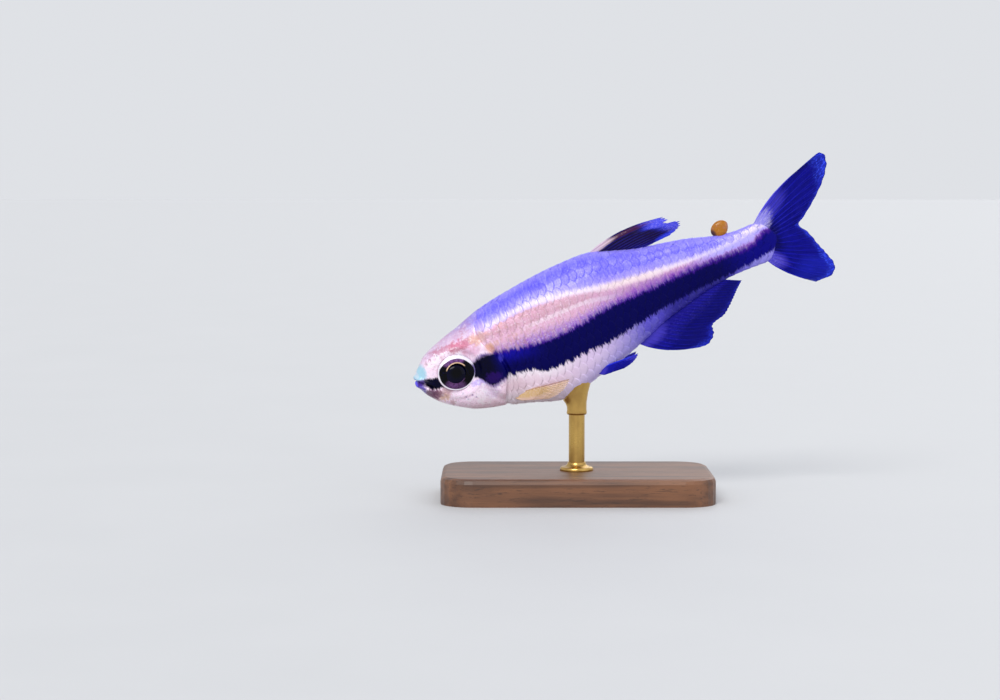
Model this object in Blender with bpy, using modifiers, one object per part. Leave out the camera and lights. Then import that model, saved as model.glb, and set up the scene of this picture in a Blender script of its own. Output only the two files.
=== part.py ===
"""Royal tetra, adult female, as a still life-size model on a small display stand.

The fish is modelled level, nose at the origin and tail along +X, with its left side facing -Y.
An empty then tips it nose down and lifts it over the stand. Lengths are in metres. Shares are
parts of the standard length, which runs from the nose to the root of the tail fin.
"""

import math
from types import SimpleNamespace

import bmesh
import bpy
from mathutils import Matrix, Vector

STANDARD_LENGTH = 0.030
NOSE_DOWN = math.radians(22.3)
GAP = 0.0003

# The cuts that part the body, in shares
GILL_EDGE = 0.205
GILL_BULGE = 0.038
GILL_MIDDLE = -0.050
GILL_REACH = 0.115
GILL_BLEND = 0.060
PEDUNCLE_START = 0.880

# Faces of the body
FACES_PER_SIDE = 22
HEAD_RINGS = 27
TRUNK_RINGS = 30
PEDUNCLE_RINGS = 8
CLEAR_RINGS = 60
CLEAR_END = 1.02
RINGS_CROWD_TO_NOSE = 1.35

# Head forms, in metres where they are depths and in shares where they are places
NOSE_ROUND = 0.020
GILL_COVER_CENTRE = (0.214, -0.044)
GILL_COVER_HALF = (0.047, 0.085)
GILL_COVER_THICKNESS = 0.00062
GILL_COVER_RAISE = 0.00018
GILL_COVER_RIM = 0.08
LIP_RAISE = 0.00016
LIP_WIDTH = 0.015
LIP_FADE = (0.056, 0.024)
LIP_START = 0.006
MOUTH_SLOPE = math.radians(40)
MOUTH_CORNER = 0.046
JAW_JOINT = (0.092, -0.200)
JAW_FRONT = -0.050
NOSTRILS = ((0.048, 0.034), (0.062, 0.041))
NOSTRIL_RADIUS = 0.00017

# Eyes
EYE_ALONG = 0.117
EYE_UP = -0.0135
EYE_RADIUS = 0.00141
EYE_HALF_DEPTH = 0.00068
EYE_OUT = 0.00108

# Fins: a membrane this thick, with the rays raised on both of its faces
RAY_THICKNESS = 0.00074
MEMBRANE_SHARE = 0.70
MEMBRANE_REACH = 0.985
TIP_SHARE = 0.48
TIP_TAPER_FROM = 0.78

# Stand
BASE_LENGTH = 0.022
BASE_WIDTH = 0.013
BASE_HEIGHT = 0.0022
BASE_CORNER = 0.0026
BASE_CHAMFER = 0.0004
CHIN_CLEARANCE = 0.0050
ROD_DIAMETER = 0.0013
ROD_SOCKET_DEPTH = 0.0012
ROD_ALONG = 0.395
CHIN_ALONG = 0.13

# Share along the body: back ridge, belly line, half width, height of the widest point,
# fullness of the back and of the belly (2 is an ellipse, less is a keel)
STATION_COLUMNS = ("share", "back", "belly", "half", "widest", "back_full", "belly_full")
STATIONS = (
    (0.000, 0.020, -0.018, 0.020, 0.002, 2.0, 2.0),
    (0.020, 0.034, -0.047, 0.031, -0.004, 2.1, 2.1),
    (0.050, 0.060, -0.080, 0.042, -0.010, 2.2, 2.2),
    (0.117, 0.086, -0.124, 0.055, -0.012, 2.2, 2.3),
    (0.160, 0.098, -0.140, 0.060, -0.010, 2.1, 2.3),
    (0.205, 0.113, -0.150, 0.065, -0.008, 2.1, 2.2),
    (0.270, 0.128, -0.168, 0.070, -0.010, 2.0, 2.2),
    (0.350, 0.140, -0.193, 0.074, -0.015, 2.0, 2.2),
    (0.410, 0.147, -0.189, 0.074, -0.014, 2.0, 2.1),
    (0.470, 0.151, -0.172, 0.070, -0.008, 2.0, 2.0),
    (0.560, 0.150, -0.149, 0.061, 0.000, 1.9, 1.9),
    (0.620, 0.132, -0.128, 0.052, 0.004, 1.9, 1.8),
    (0.690, 0.110, -0.101, 0.043, 0.006, 1.9, 1.7),
    (0.760, 0.097, -0.083, 0.035, 0.006, 1.9, 1.7),
    (0.830, 0.082, -0.066, 0.027, 0.005, 1.9, 1.8),
    (0.890, 0.064, -0.058, 0.022, 0.003, 1.9, 1.9),
    (0.950, 0.053, -0.056, 0.018, 0.000, 2.0, 2.0),
    (1.000, 0.053, -0.058, 0.013, -0.002, 2.0, 2.0),
)

# Fin outlines, in shares along and up: the place of the ray tips from the first ray to the last
DORSAL_BASE = (0.562, 0.690)
DORSAL_TIPS = (
    (0.00, 0.796, 0.158),
    (0.16, 0.802, 0.151),
    (0.30, 0.795, 0.143),
    (0.45, 0.826, 0.136),
    (0.65, 0.829, 0.125),
    (0.85, 0.815, 0.116),
    (1.00, 0.790, 0.109),
)
ANAL_BASE = (0.600, 0.868)
ANAL_TIPS = (
    (0.00, 0.752, -0.203),
    (0.08, 0.778, -0.203),
    (0.16, 0.800, -0.184),
    (0.26, 0.806, -0.160),
    (0.42, 0.845, -0.146),
    (0.62, 0.880, -0.118),
    (0.82, 0.905, -0.094),
    (1.00, 0.922, -0.078),
)
CAUDAL_BASE = (0.050, -0.054)
CAUDAL_TIPS = (
    (0.00, 1.200, 0.150),
    (0.07, 1.246, 0.164),
    (0.14, 1.254, 0.138),
    (0.24, 1.231, 0.096),
    (0.36, 1.182, 0.048),
    (0.45, 1.140, 0.016),
    (0.50, 1.122, 0.003),
    (0.56, 1.138, -0.024),
    (0.66, 1.152, -0.066),
    (0.78, 1.166, -0.104),
    (0.87, 1.174, -0.136),
    (0.94, 1.157, -0.159),
    (1.00, 1.110, -0.160),
)
CAUDAL_SWEEP = 0.0011
CAUDAL_STILL = 0.35

# How far the first and the last ray of a fin bend off their straight lines, in ray lengths
DORSAL_BOW = (-0.030, 0.0)
ANAL_BOW = (0.070, 0.0)
CAUDAL_BOW = (-0.055, 0.050)

ADIPOSE_ALONG = 0.919
ADIPOSE_HALF_LENGTH = 0.0265
ADIPOSE_HALF_HEIGHT = 0.0210
ADIPOSE_HALF_THICKNESS = 0.00036
ADIPOSE_LIFT = 0.016
ADIPOSE_LEAN = math.radians(18)

PECTORAL_ROOT = (0.241, -0.136)
PECTORAL_LENGTH = 0.158
PECTORAL_SPREAD = math.radians(17)
PECTORAL_SPLAY = math.radians(17)
PECTORAL_DROOP = math.radians(12)
PELVIC_ROOT = (0.474, -0.161)
PELVIC_LENGTH = 0.116
PELVIC_SPREAD = math.radians(11)
PELVIC_SPLAY = math.radians(9)
PELVIC_DROOP = math.radians(3)
ROOT_WIDTH = 0.016
ROOT_DEPTH = 0.0007
SHORTEST_RAY = 0.58


def smooth_between(low, high, value):
    """0 below low, 1 above high and an even S between them."""
    part = min(1.0, max(0.0, (value - low) / (high - low)))
    return part * part * (3 - 2 * part)


def curve_through(rows, column, at):
    """Reads one column of the rows at a place between them, on a smooth curve."""
    last = len(rows) - 1
    at = min(max(at, rows[0][0]), rows[last][0])
    left = max(i for i in range(last) if rows[i][0] <= at)

    def slope(i):
        before, after = max(i - 1, 0), min(i + 1, last)
        return (rows[after][column] - rows[before][column]) / (rows[after][0] - rows[before][0])

    step = rows[left + 1][0] - rows[left][0]
    t = (at - rows[left][0]) / step
    start, end = rows[left][column], rows[left + 1][column]
    return (
        (2 * t**3 - 3 * t**2 + 1) * start
        + (t**3 - 2 * t**2 + t) * step * slope(left)
        + (3 * t**2 - 2 * t**3) * end
        + (t**3 - t**2) * step * slope(left + 1)
    )


def station(share):
    """The body's section at a share of its length, with the nose rounded off."""
    row = {
        name: curve_through(STATIONS, column, share)
        for column, name in enumerate(STATION_COLUMNS)
    }
    if share < NOSE_ROUND:
        rounding = math.sqrt(max(0.0, 1 - (1 - share / NOSE_ROUND) ** 2))
        for name in ("back", "belly", "half"):
            middle = 0.0 if name == "half" else row["widest"]
            row[name] = middle + (row[name] - middle) * rounding
    return SimpleNamespace(**row)


def gill_shift(share, up):
    """How far back the gill cover's round edge carries a point of the skin, in shares."""
    near_edge = smooth_between(GILL_BLEND, 0.0, abs(share - GILL_EDGE))
    height = min(1.0, abs(up - GILL_MIDDLE) / GILL_REACH)
    return GILL_BULGE * near_edge * math.cos(math.pi / 2 * height) ** 2


def cover_radius(share, up):
    """How far a place is from the gill cover's middle, where 1 is its rim."""
    along_part = (share - GILL_COVER_CENTRE[0]) / GILL_COVER_HALF[0]
    up_part = (up - GILL_COVER_CENTRE[1]) / GILL_COVER_HALF[1]
    return math.hypot(along_part, up_part)


def head_relief(share, up):
    """Outward height of the gill cover and the lips over the plain skin, in metres."""
    if share > GILL_EDGE:
        return 0.0
    rim = smooth_between(1 + GILL_COVER_RIM, 1 - GILL_COVER_RIM, cover_radius(share, up))
    mouth_up = -share * math.tan(MOUTH_SLOPE)
    lips = math.exp(-(((up - mouth_up) / LIP_WIDTH) ** 2)) * smooth_between(*LIP_FADE, share)
    return GILL_COVER_RAISE * rim + LIP_RAISE * lips * smooth_between(0.0, LIP_START, share)


def skin_point(share, turn, lift=0.0):
    """A point of the left skin. turn runs from 0 at the back ridge to 1 at the belly line."""
    row = station(share)
    angle = math.pi * turn
    rising, across = math.cos(angle), math.sin(angle)
    upper = rising >= 0
    power = 2 / (row.back_full if upper else row.belly_full)
    height = (row.back if upper else -row.belly) + (-row.widest if upper else row.widest)
    span = height * STANDARD_LENGTH + lift
    up = row.widest * STANDARD_LENGTH + math.copysign(span * abs(rising) ** power, rising)
    up_share = up / STANDARD_LENGTH
    out = (row.half * STANDARD_LENGTH + lift + head_relief(share, up_share)) * across**power
    along = (share + gill_shift(share, up_share)) * STANDARD_LENGTH
    return Vector((along, -out, up))


def side_at(share, up):
    """Half width of the skin at a share along and a share up, in metres."""
    row = station(share)
    upper = up >= row.widest
    full = row.back_full if upper else row.belly_full
    reach = (row.back if upper else row.belly) - row.widest
    part = min(1.0, (up - row.widest) / reach)
    return (row.half * STANDARD_LENGTH + head_relief(share, up)) * (1 - part**full) ** (1 / full)


def body_loft(shares, lift=0.0, nose=False):
    """A closed length of the body through its rings, with flat or rounded ends."""
    mesh = bmesh.new()
    turns = [i / FACES_PER_SIDE for i in range(FACES_PER_SIDE + 1)]
    rings = []
    for share in shares:
        left = [mesh.verts.new(skin_point(share, turn, lift)) for turn in turns]
        mirrored = [Vector((v.co.x, -v.co.y, v.co.z)) for v in left[1:-1]]
        rings.append(left + [mesh.verts.new(point) for point in reversed(mirrored)])
    count = 2 * FACES_PER_SIDE
    for ring, following in zip(rings, rings[1:]):
        for i in range(count):
            after = (i + 1) % count
            mesh.faces.new((ring[i], ring[after], following[after], following[i]))
    if nose:
        tip = mesh.verts.new((-lift, 0.0, station(0.0).widest * STANDARD_LENGTH))
        for i in range(count):
            mesh.faces.new((tip, rings[0][(i + 1) % count], rings[0][i]))
    for ring in rings[-1:] if nose else (rings[0], rings[-1]):
        close_across(mesh, ring)
    bmesh.ops.recalc_face_normals(mesh, faces=mesh.faces)
    return mesh


def close_across(mesh, ring):
    """Closes an end of the body with strips that run straight across from side to side."""
    count = len(ring)
    for i in range(FACES_PER_SIDE):
        corners = [ring[i], ring[i + 1], ring[(count - i - 1) % count], ring[(count - i) % count]]
        mesh.faces.new(list(dict.fromkeys(corners)))


def spread(start, end, count, power=1.0):
    """Shares from start to end, closer together near the start where the power is over 1."""
    return [start + (end - start) * (i / count) ** power for i in range(count + 1)]


def new_material(name, colour, roughness, metallic=0.0):
    material = bpy.data.materials.new(name)
    material.use_nodes = True
    shader = material.node_tree.nodes["Principled BSDF"]
    shader.inputs["Base Color"].default_value = (*colour, 1.0)
    shader.inputs["Roughness"].default_value = roughness
    shader.inputs["Metallic"].default_value = metallic
    return material


def add_object(name, mesh, collection, parent, material=None):
    """Makes an object from a bmesh, under an empty and in a collection."""
    data = bpy.data.meshes.new(name)
    mesh.to_mesh(data)
    mesh.free()
    data.shade_smooth()
    data.set_sharp_from_angle(angle=math.radians(40))
    if material:
        data.materials.append(material)
    item = bpy.data.objects.new(name, data)
    item.parent = parent
    collection.objects.link(item)
    return item


def carve(item, cutters, kept=None):
    """Keeps what is inside kept, cuts the cutters out and keeps the largest closed surface."""
    steps = [("INTERSECT", kept)] if kept else []
    steps += [("DIFFERENCE", cutter) for cutter in cutters]
    for operation, other in steps:
        boolean = item.modifiers.new(other.name, "BOOLEAN")
        boolean.operation = operation
        boolean.solver = "EXACT"
        boolean.object = other
    bpy.context.view_layer.update()
    graph = bpy.context.evaluated_depsgraph_get()
    mesh = bmesh.new()
    mesh.from_mesh(bpy.data.meshes.new_from_object(item.evaluated_get(graph)))
    keep_largest(mesh)
    bmesh.ops.triangulate(mesh, faces=mesh.faces)
    item.modifiers.clear()
    mesh.to_mesh(item.data)
    mesh.free()


def keep_largest(mesh):
    """Removes every loose scrap but the surface with the most faces."""
    left = set(mesh.verts)
    islands = []
    while left:
        island, edge = set(), [left.pop()]
        while edge:
            vert = edge.pop()
            island.add(vert)
            edge.extend(
                v for v in (e.other_vert(vert) for e in vert.link_edges) if v not in island
            )
        left -= island
        islands.append(island)
    largest = max(islands, key=len)
    scraps = [v for v in mesh.verts if v not in largest]
    bmesh.ops.delete(mesh, geom=scraps, context="VERTS")


def ellipsoid(centre, radii, segments, rings, lean=0.0):
    mesh = bmesh.new()
    bmesh.ops.create_uvsphere(mesh, u_segments=segments, v_segments=rings, radius=1.0)
    place = Matrix.Translation(centre) @ Matrix.Rotation(lean, 4, "Y")
    mesh.transform(place @ Matrix.Diagonal((*radii, 1.0)))
    return mesh


def mirror_to_right(mesh):
    """Turns a left-side mesh into its right-side twin."""
    bmesh.ops.scale(mesh, vec=(1, -1, 1), verts=mesh.verts)
    bmesh.ops.reverse_faces(mesh, faces=mesh.faces)
    return mesh


def jaw_block(clearance=0.0):
    """A block whose upper side is the mouth line and whose rear side is the lower jaw's joint."""
    slope = math.tan(MOUTH_SLOPE)
    corners = {
        (False, True): Vector((JAW_FRONT, 0.0, -JAW_FRONT * slope)),
        (True, True): Vector((MOUTH_CORNER, 0.0, -MOUTH_CORNER * slope)),
        (True, False): Vector((JAW_JOINT[0], 0.0, JAW_JOINT[1])),
        (False, False): Vector((JAW_FRONT, 0.0, JAW_JOINT[1])),
    }
    rear = (corners[True, False] - corners[True, True]).normalized()
    mouth_side = Vector((math.sin(MOUTH_SLOPE), 0.0, math.cos(MOUTH_SLOPE)))
    rear_side = Vector((-rear.z, 0.0, rear.x))
    shift = (mouth_side + rear_side) * clearance / (1 + mouth_side.dot(rear_side))
    mesh = bmesh.new()
    bmesh.ops.create_cube(mesh, size=1.0)
    for vert in mesh.verts:
        place = corners[vert.co.x > 0, vert.co.z > 0] * STANDARD_LENGTH + shift
        vert.co = place + Vector((0.0, math.copysign(STANDARD_LENGTH, vert.co.y), 0.0))
    return mesh


def cover_block(clearance=0.0):
    """An upright oval block round the left gill cover."""
    centre = Vector((GILL_COVER_CENTRE[0], -1 / 2, GILL_COVER_CENTRE[1])) * STANDARD_LENGTH
    half = [part * STANDARD_LENGTH + clearance for part in GILL_COVER_HALF]
    mesh = bmesh.new()
    bmesh.ops.create_cone(
        mesh, cap_ends=True, segments=36, radius1=1.0, radius2=1.0, depth=STANDARD_LENGTH
    )
    mesh.transform(Matrix.Rotation(math.pi / 2, 4, "X"))
    mesh.transform(Matrix.Translation(centre) @ Matrix.Diagonal((half[0], 1.0, half[1], 1.0)))
    return mesh


def cover_core(clearance=0.0):
    """The part of the body that lies under the gill covers."""
    start, end = (GILL_COVER_CENTRE[0] + side * 2 * GILL_COVER_HALF[0] for side in (-1, 1))
    lift = -GILL_COVER_THICKNESS - clearance
    return body_loft(spread(start, end, TRUNK_RINGS), lift)


def nostril_cutter(along, up):
    centre = Vector((along * STANDARD_LENGTH, -side_at(along, up), up * STANDARD_LENGTH))
    return ellipsoid(centre, (NOSTRIL_RADIUS, NOSTRIL_RADIUS, NOSTRIL_RADIUS * 0.8), 8, 6)


def eye_centre():
    return Vector((EYE_ALONG * STANDARD_LENGTH, -EYE_OUT, EYE_UP * STANDARD_LENGTH))


def eye_ball(clearance=0.0):
    """A flattened ball, set as deep in the head as its clearance lets it."""
    radius = EYE_RADIUS + clearance
    depth = EYE_HALF_DEPTH + clearance
    return ellipsoid(eye_centre(), (radius, depth, radius), 24, 14)


def head_loft():
    rings = spread(0.0, GILL_EDGE, HEAD_RINGS, RINGS_CROWD_TO_NOSE)[1:]
    return body_loft(rings, nose=True)


def build_head(scene):
    """Nose to gill opening, with nostrils and eye sockets, less the jaw and the gill covers."""
    head = add_object("head", head_loft(), *scene.fish, scene.skin)
    core = add_object("head_core", cover_core(GAP), *scene.cutters)
    cutters = [add_object("jaw_cut", jaw_block(GAP), *scene.cutters)]
    for flip in (False, True):
        forms = [("socket_cut", eye_ball(GAP)), ("cover_cut", cover_block(GAP))]
        forms += [(f"nostril_cut_{i}", nostril_cutter(*place)) for i, place in enumerate(NOSTRILS)]
        for name, mesh in forms:
            mesh = mirror_to_right(mesh) if flip else mesh
            cutters.append(add_object(name, mesh, *scene.cutters))
            if name == "cover_cut":
                carve(cutters[-1], [core])
    carve(head, cutters)


def build_jaw_and_gill_covers(scene):
    """The lower jaw under the mouth line, and a curved plate over each gill opening."""
    jaw = add_object("lower_jaw", head_loft(), *scene.fish, scene.skin)
    carve(jaw, [], add_object("jaw_kept", jaw_block(), *scene.cutters))
    core = add_object("cover_core", cover_core(), *scene.cutters)
    for side in ("left", "right"):
        block = cover_block() if side == "left" else mirror_to_right(cover_block())
        cover = add_object(f"gill_cover_{side}", head_loft(), *scene.fish, scene.skin)
        carve(cover, [core], add_object("cover_kept", block, *scene.cutters))


def build_eyes(scene):
    add_object("eye_left", eye_ball(), *scene.fish, scene.eye)
    add_object("eye_right", mirror_to_right(eye_ball()), *scene.fish, scene.eye)


def build_trunk_and_peduncle(scene):
    gap = GAP / STANDARD_LENGTH
    trunk = spread(GILL_EDGE + gap, PEDUNCLE_START, TRUNK_RINGS)
    peduncle = spread(PEDUNCLE_START + gap, 1.0, PEDUNCLE_RINGS)
    add_object("trunk", body_loft(trunk), *scene.fish, scene.skin)
    add_object("caudal_peduncle", body_loft(peduncle), *scene.fish, scene.skin)


def ray_fin(rays, steps, root, tip, bow=(0.0, 0.0), sweep=None):
    """An open sheet of rays and membranes.

    root and tip give a point for a place across the fin, from 0 at the first ray to 1 at the
    last. bow bends the rays off their straight lines, from the first ray's part of its length
    to the last's, and sweep moves them sideways. A vertex weight says how thick the fin is.
    """
    mesh = bmesh.new()
    columns = 2 * (rays - 1)
    bmesh.ops.create_grid(mesh, x_segments=columns, y_segments=steps, size=1.0)
    weights = mesh.verts.layers.deform.verify()
    for vert in mesh.verts:
        across = (vert.co.x + 1) / 2
        out = (vert.co.y + 1) / 2
        on_ray = round(across * columns) % 2 == 0
        reach = 1.0 if on_ray else MEMBRANE_REACH
        start, end = root(across), tip(across)
        line = end - start
        side = Vector((line.z, 0.0, -line.x))
        bend = (bow[0] + (bow[1] - bow[0]) * across) * math.sin(math.pi * out)
        point = start + line * out * reach + side * bend
        vert.co = point + Vector((0.0, sweep(across, out) if sweep else 0.0, 0.0))
        taper = 1 - (1 - TIP_SHARE) * smooth_between(TIP_TAPER_FROM, 1.0, out)
        vert[weights][0] = (1.0 if on_ray else MEMBRANE_SHARE) * taper
    bmesh.ops.triangulate(mesh, faces=mesh.faces, quad_method="FIXED")
    return mesh


def thicken(item):
    """Gives a fin its thickness, alike on both faces."""
    item.vertex_groups.new(name="thickness")
    shell = item.modifiers.new("thickness", "SOLIDIFY")
    shell.thickness = RAY_THICKNESS
    shell.offset = 0.0
    shell.vertex_group = "thickness"


def outline(rows):
    """A function that reads a fin's outline at a place across it, as a point in metres."""

    def point(across):
        along, up = (curve_through(rows, column, across) for column in (1, 2))
        return Vector((along, 0.0, up)) * STANDARD_LENGTH

    return point


def ridge_root(base, side):
    """A function for the root of a fin on the back (side 1) or the belly (side -1)."""

    def point(across):
        share = base[0] + (base[1] - base[0]) * across
        row = station(share)
        height = (row.back if side > 0 else row.belly) * STANDARD_LENGTH + side * GAP
        return Vector((share * STANDARD_LENGTH, 0.0, height))

    return point


def caudal_root(across):
    up = CAUDAL_BASE[0] + (CAUDAL_BASE[1] - CAUDAL_BASE[0]) * across
    return Vector((STANDARD_LENGTH + GAP, 0.0, up * STANDARD_LENGTH))


def caudal_sweep(across, out):
    """The tail fin's lobes swing a little apart, as in a turning stroke."""
    return CAUDAL_SWEEP * out**2 * (across - CAUDAL_STILL)


def build_median_fins(scene):
    """The dorsal, anal and tail fins, which stand on the fish's mid line."""
    plans = (
        ("dorsal_fin", 11, 8, ridge_root(DORSAL_BASE, 1), outline(DORSAL_TIPS), DORSAL_BOW, None),
        ("anal_fin", 18, 7, ridge_root(ANAL_BASE, -1), outline(ANAL_TIPS), ANAL_BOW, None),
        ("caudal_fin", 19, 8, caudal_root, outline(CAUDAL_TIPS), CAUDAL_BOW, caudal_sweep),
    )
    for name, rays, steps, root, tip, bow, sweep in plans:
        fin = add_object(name, ray_fin(rays, steps, root, tip, bow, sweep), *scene.fish, scene.fin)
        thicken(fin)


def build_adipose_fin(scene, clear_body):
    """The small fleshy lobe behind the dorsal fin."""
    up = station(ADIPOSE_ALONG).back + ADIPOSE_LIFT
    centre = Vector((ADIPOSE_ALONG, 0.0, up)) * STANDARD_LENGTH
    radii = (
        ADIPOSE_HALF_LENGTH * STANDARD_LENGTH,
        ADIPOSE_HALF_THICKNESS,
        ADIPOSE_HALF_HEIGHT * STANDARD_LENGTH,
    )
    lobe = ellipsoid(centre, radii, 16, 10, -ADIPOSE_LEAN)
    fin = add_object("adipose_fin", lobe, *scene.fish, scene.adipose)
    carve(fin, [clear_body])


def fan(rays, steps, length, angle):
    """A level fan of rays that points along +X, its first ray the longest and uppermost."""

    def root(across):
        return Vector((-ROOT_DEPTH, 0.0, (0.5 - across) * ROOT_WIDTH * STANDARD_LENGTH))

    def tip(across):
        turn = angle * (0.5 - across)
        reach = length * STANDARD_LENGTH * (1 - (1 - SHORTEST_RAY) * across**1.5)
        return Vector((math.cos(turn), 0.0, math.sin(turn))) * reach + root(across) / 2

    return ray_fin(rays, steps, root, tip)


def build_paired_fin(scene, clear_body, name, rays, material, root, length, angle, splay, droop):
    """A left and a right fin, folded back and standing a little off the skin."""
    along, up = root
    centre = Vector((along * STANDARD_LENGTH, -side_at(along, up), up * STANDARD_LENGTH))
    turn = Matrix.Rotation(-splay, 4, "Z") @ Matrix.Rotation(droop, 4, "Y")
    for side in ("left", "right"):
        mesh = fan(rays, 6, length, angle)
        mesh.transform(Matrix.Translation(centre) @ turn)
        if side == "right":
            mesh = mirror_to_right(mesh)
        fin = add_object(f"{name}_{side}", mesh, *scene.fish, material)
        thicken(fin)
        carve(fin, [clear_body])


def build_paired_fins(scene, clear_body):
    build_paired_fin(
        scene, clear_body, "pectoral_fin", 9, scene.pectoral, PECTORAL_ROOT,
        PECTORAL_LENGTH, PECTORAL_SPREAD, PECTORAL_SPLAY, PECTORAL_DROOP,
    )
    build_paired_fin(
        scene, clear_body, "pelvic_fin", 7, scene.fin, PELVIC_ROOT,
        PELVIC_LENGTH, PELVIC_SPREAD, PELVIC_SPLAY, PELVIC_DROOP,
    )


def to_world(along, up):
    """A point of the mid plane, given in shares, after the fish is tipped nose down."""
    turned = Matrix.Rotation(-NOSE_DOWN, 4, "Y") @ Vector((along, 0.0, up))
    return turned * STANDARD_LENGTH


def build_stand(scene, clear_body):
    """A flat base with a rod that stands in its socket and reaches up to the belly."""
    chin = to_world(CHIN_ALONG, station(CHIN_ALONG).belly)
    belly = to_world(ROD_ALONG, station(ROD_ALONG).belly)
    scene.fish_empty.location.z = BASE_HEIGHT + CHIN_CLEARANCE - chin.z
    bpy.context.view_layer.update()
    rod_top = scene.fish_empty.location.z + belly.z + 2 * ROD_DIAMETER
    foot = BASE_HEIGHT - ROD_SOCKET_DEPTH + GAP

    mesh = bmesh.new()
    bmesh.ops.create_cube(mesh, size=1.0)
    mesh.transform(Matrix.Diagonal((BASE_LENGTH, BASE_WIDTH, BASE_HEIGHT, 1.0)))
    mesh.transform(Matrix.Translation((belly.x, 0.0, BASE_HEIGHT / 2)))
    upright = [e for e in mesh.edges if abs(e.verts[0].co.z - e.verts[1].co.z) > BASE_HEIGHT / 2]
    bmesh.ops.bevel(
        mesh, geom=upright, offset=BASE_CORNER, segments=6, profile=0.5, affect="EDGES"
    )
    rim = [e for e in mesh.edges if all(v.co.z > BASE_HEIGHT - GAP for v in e.verts)]
    bmesh.ops.bevel(mesh, geom=rim, offset=BASE_CHAMFER, segments=2, profile=0.5, affect="EDGES")
    base = add_object("stand_base", mesh, *scene.stand, scene.wood)

    socket = rod_mesh(ROD_DIAMETER / 2 + GAP, BASE_HEIGHT - ROD_SOCKET_DEPTH, 2 * BASE_HEIGHT)
    socket.transform(Matrix.Translation((belly.x, 0.0, 0.0)))
    socket_cut = add_object("socket_cut", socket, scene.cutters[0], scene.stand[1])
    carve(base, [socket_cut])

    rod = rod_mesh(ROD_DIAMETER / 2, foot, rod_top)
    rod.transform(Matrix.Translation((belly.x, 0.0, 0.0)))
    carve(add_object("stand_rod", rod, *scene.stand, scene.metal), [clear_body])


def rod_mesh(radius, low, high):
    mesh = bmesh.new()
    bmesh.ops.create_cone(
        mesh, cap_ends=True, segments=20, radius1=radius, radius2=radius, depth=high - low
    )
    mesh.transform(Matrix.Translation((0.0, 0.0, (low + high) / 2)))
    return mesh


def centre_over_origin(scene):
    """Moves the model so that the origin is under the middle of its whole length."""
    bpy.context.view_layer.update()
    graph = bpy.context.evaluated_depsgraph_get()
    places = []
    for item in scene.collection.objects:
        if item.type == "MESH":
            shown = item.evaluated_get(graph)
            places += [(shown.matrix_world @ v.co).x for v in shown.data.vertices]
    middle = (min(places) + max(places)) / 2
    scene.fish_empty.location.x -= middle
    scene.stand_empty.location.x -= middle


def start_scene():
    """Clears the scene and makes the collections, empties and materials."""
    for item in list(bpy.data.objects):
        bpy.data.objects.remove(item, do_unlink=True)
    collection = bpy.data.collections.new("royal_tetra")
    cutters = bpy.data.collections.new("cutters")
    for group in (collection, cutters):
        bpy.context.scene.collection.children.link(group)
    fish_empty = bpy.data.objects.new("fish_frame", None)
    stand_empty = bpy.data.objects.new("stand_frame", None)
    fish_empty.rotation_euler.y = -NOSE_DOWN
    for empty in (fish_empty, stand_empty):
        collection.objects.link(empty)
    return SimpleNamespace(
        collection=collection,
        fish_empty=fish_empty,
        stand_empty=stand_empty,
        fish=(collection, fish_empty),
        stand=(collection, stand_empty),
        cutters=(cutters, fish_empty),
        skin=new_material("skin", (0.60, 0.50, 0.66), 0.35),
        eye=new_material("eye", (0.02, 0.02, 0.03), 0.08),
        fin=new_material("fin", (0.10, 0.12, 0.62), 0.30),
        pectoral=new_material("pectoral", (0.80, 0.72, 0.50), 0.30),
        adipose=new_material("adipose", (0.80, 0.38, 0.07), 0.40),
        wood=new_material("stand_wood", (0.09, 0.05, 0.03), 0.45),
        metal=new_material("stand_metal", (0.75, 0.60, 0.33), 0.25, 1.0),
    )


def main():
    scene = start_scene()
    whole = spread(0.0, CLEAR_END, CLEAR_RINGS)[1:]
    clear_body = add_object("clear_body", body_loft(whole, lift=GAP, nose=True), *scene.cutters)
    build_head(scene)
    build_jaw_and_gill_covers(scene)
    build_eyes(scene)
    build_trunk_and_peduncle(scene)
    build_median_fins(scene)
    build_adipose_fin(scene, clear_body)
    build_paired_fins(scene, clear_body)
    build_stand(scene, clear_body)
    for cutter in scene.cutters[0].objects:
        cutter.hide_render = True
        cutter.display_type = "WIRE"
    centre_over_origin(scene)


main()
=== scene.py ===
"""The finish of a life-size royal tetra model: skin, scales, eyes, fins, stand and a plain stage.

The fish is shaped level, its nose at the origin, tail along +X and left side facing -Y. Places on
it are shares of the standard length, from the nose to the root of the tail fin. FISH then tips
each piece nose down onto the stand.
"""

import math
import random
from functools import lru_cache
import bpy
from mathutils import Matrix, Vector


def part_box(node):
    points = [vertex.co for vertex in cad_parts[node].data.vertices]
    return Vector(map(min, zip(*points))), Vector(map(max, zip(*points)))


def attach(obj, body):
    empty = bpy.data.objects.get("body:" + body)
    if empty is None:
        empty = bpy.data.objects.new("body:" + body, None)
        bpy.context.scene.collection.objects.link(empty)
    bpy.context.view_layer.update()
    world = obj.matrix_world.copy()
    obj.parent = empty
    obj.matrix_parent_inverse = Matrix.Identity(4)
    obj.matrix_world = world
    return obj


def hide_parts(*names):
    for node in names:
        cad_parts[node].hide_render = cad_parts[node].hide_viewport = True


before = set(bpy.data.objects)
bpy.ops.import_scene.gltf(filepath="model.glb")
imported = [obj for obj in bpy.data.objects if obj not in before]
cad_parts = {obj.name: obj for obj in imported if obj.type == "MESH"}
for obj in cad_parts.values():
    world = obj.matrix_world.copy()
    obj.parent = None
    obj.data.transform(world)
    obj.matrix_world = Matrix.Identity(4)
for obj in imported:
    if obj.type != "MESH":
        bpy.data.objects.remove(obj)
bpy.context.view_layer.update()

from types import SimpleNamespace

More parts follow.
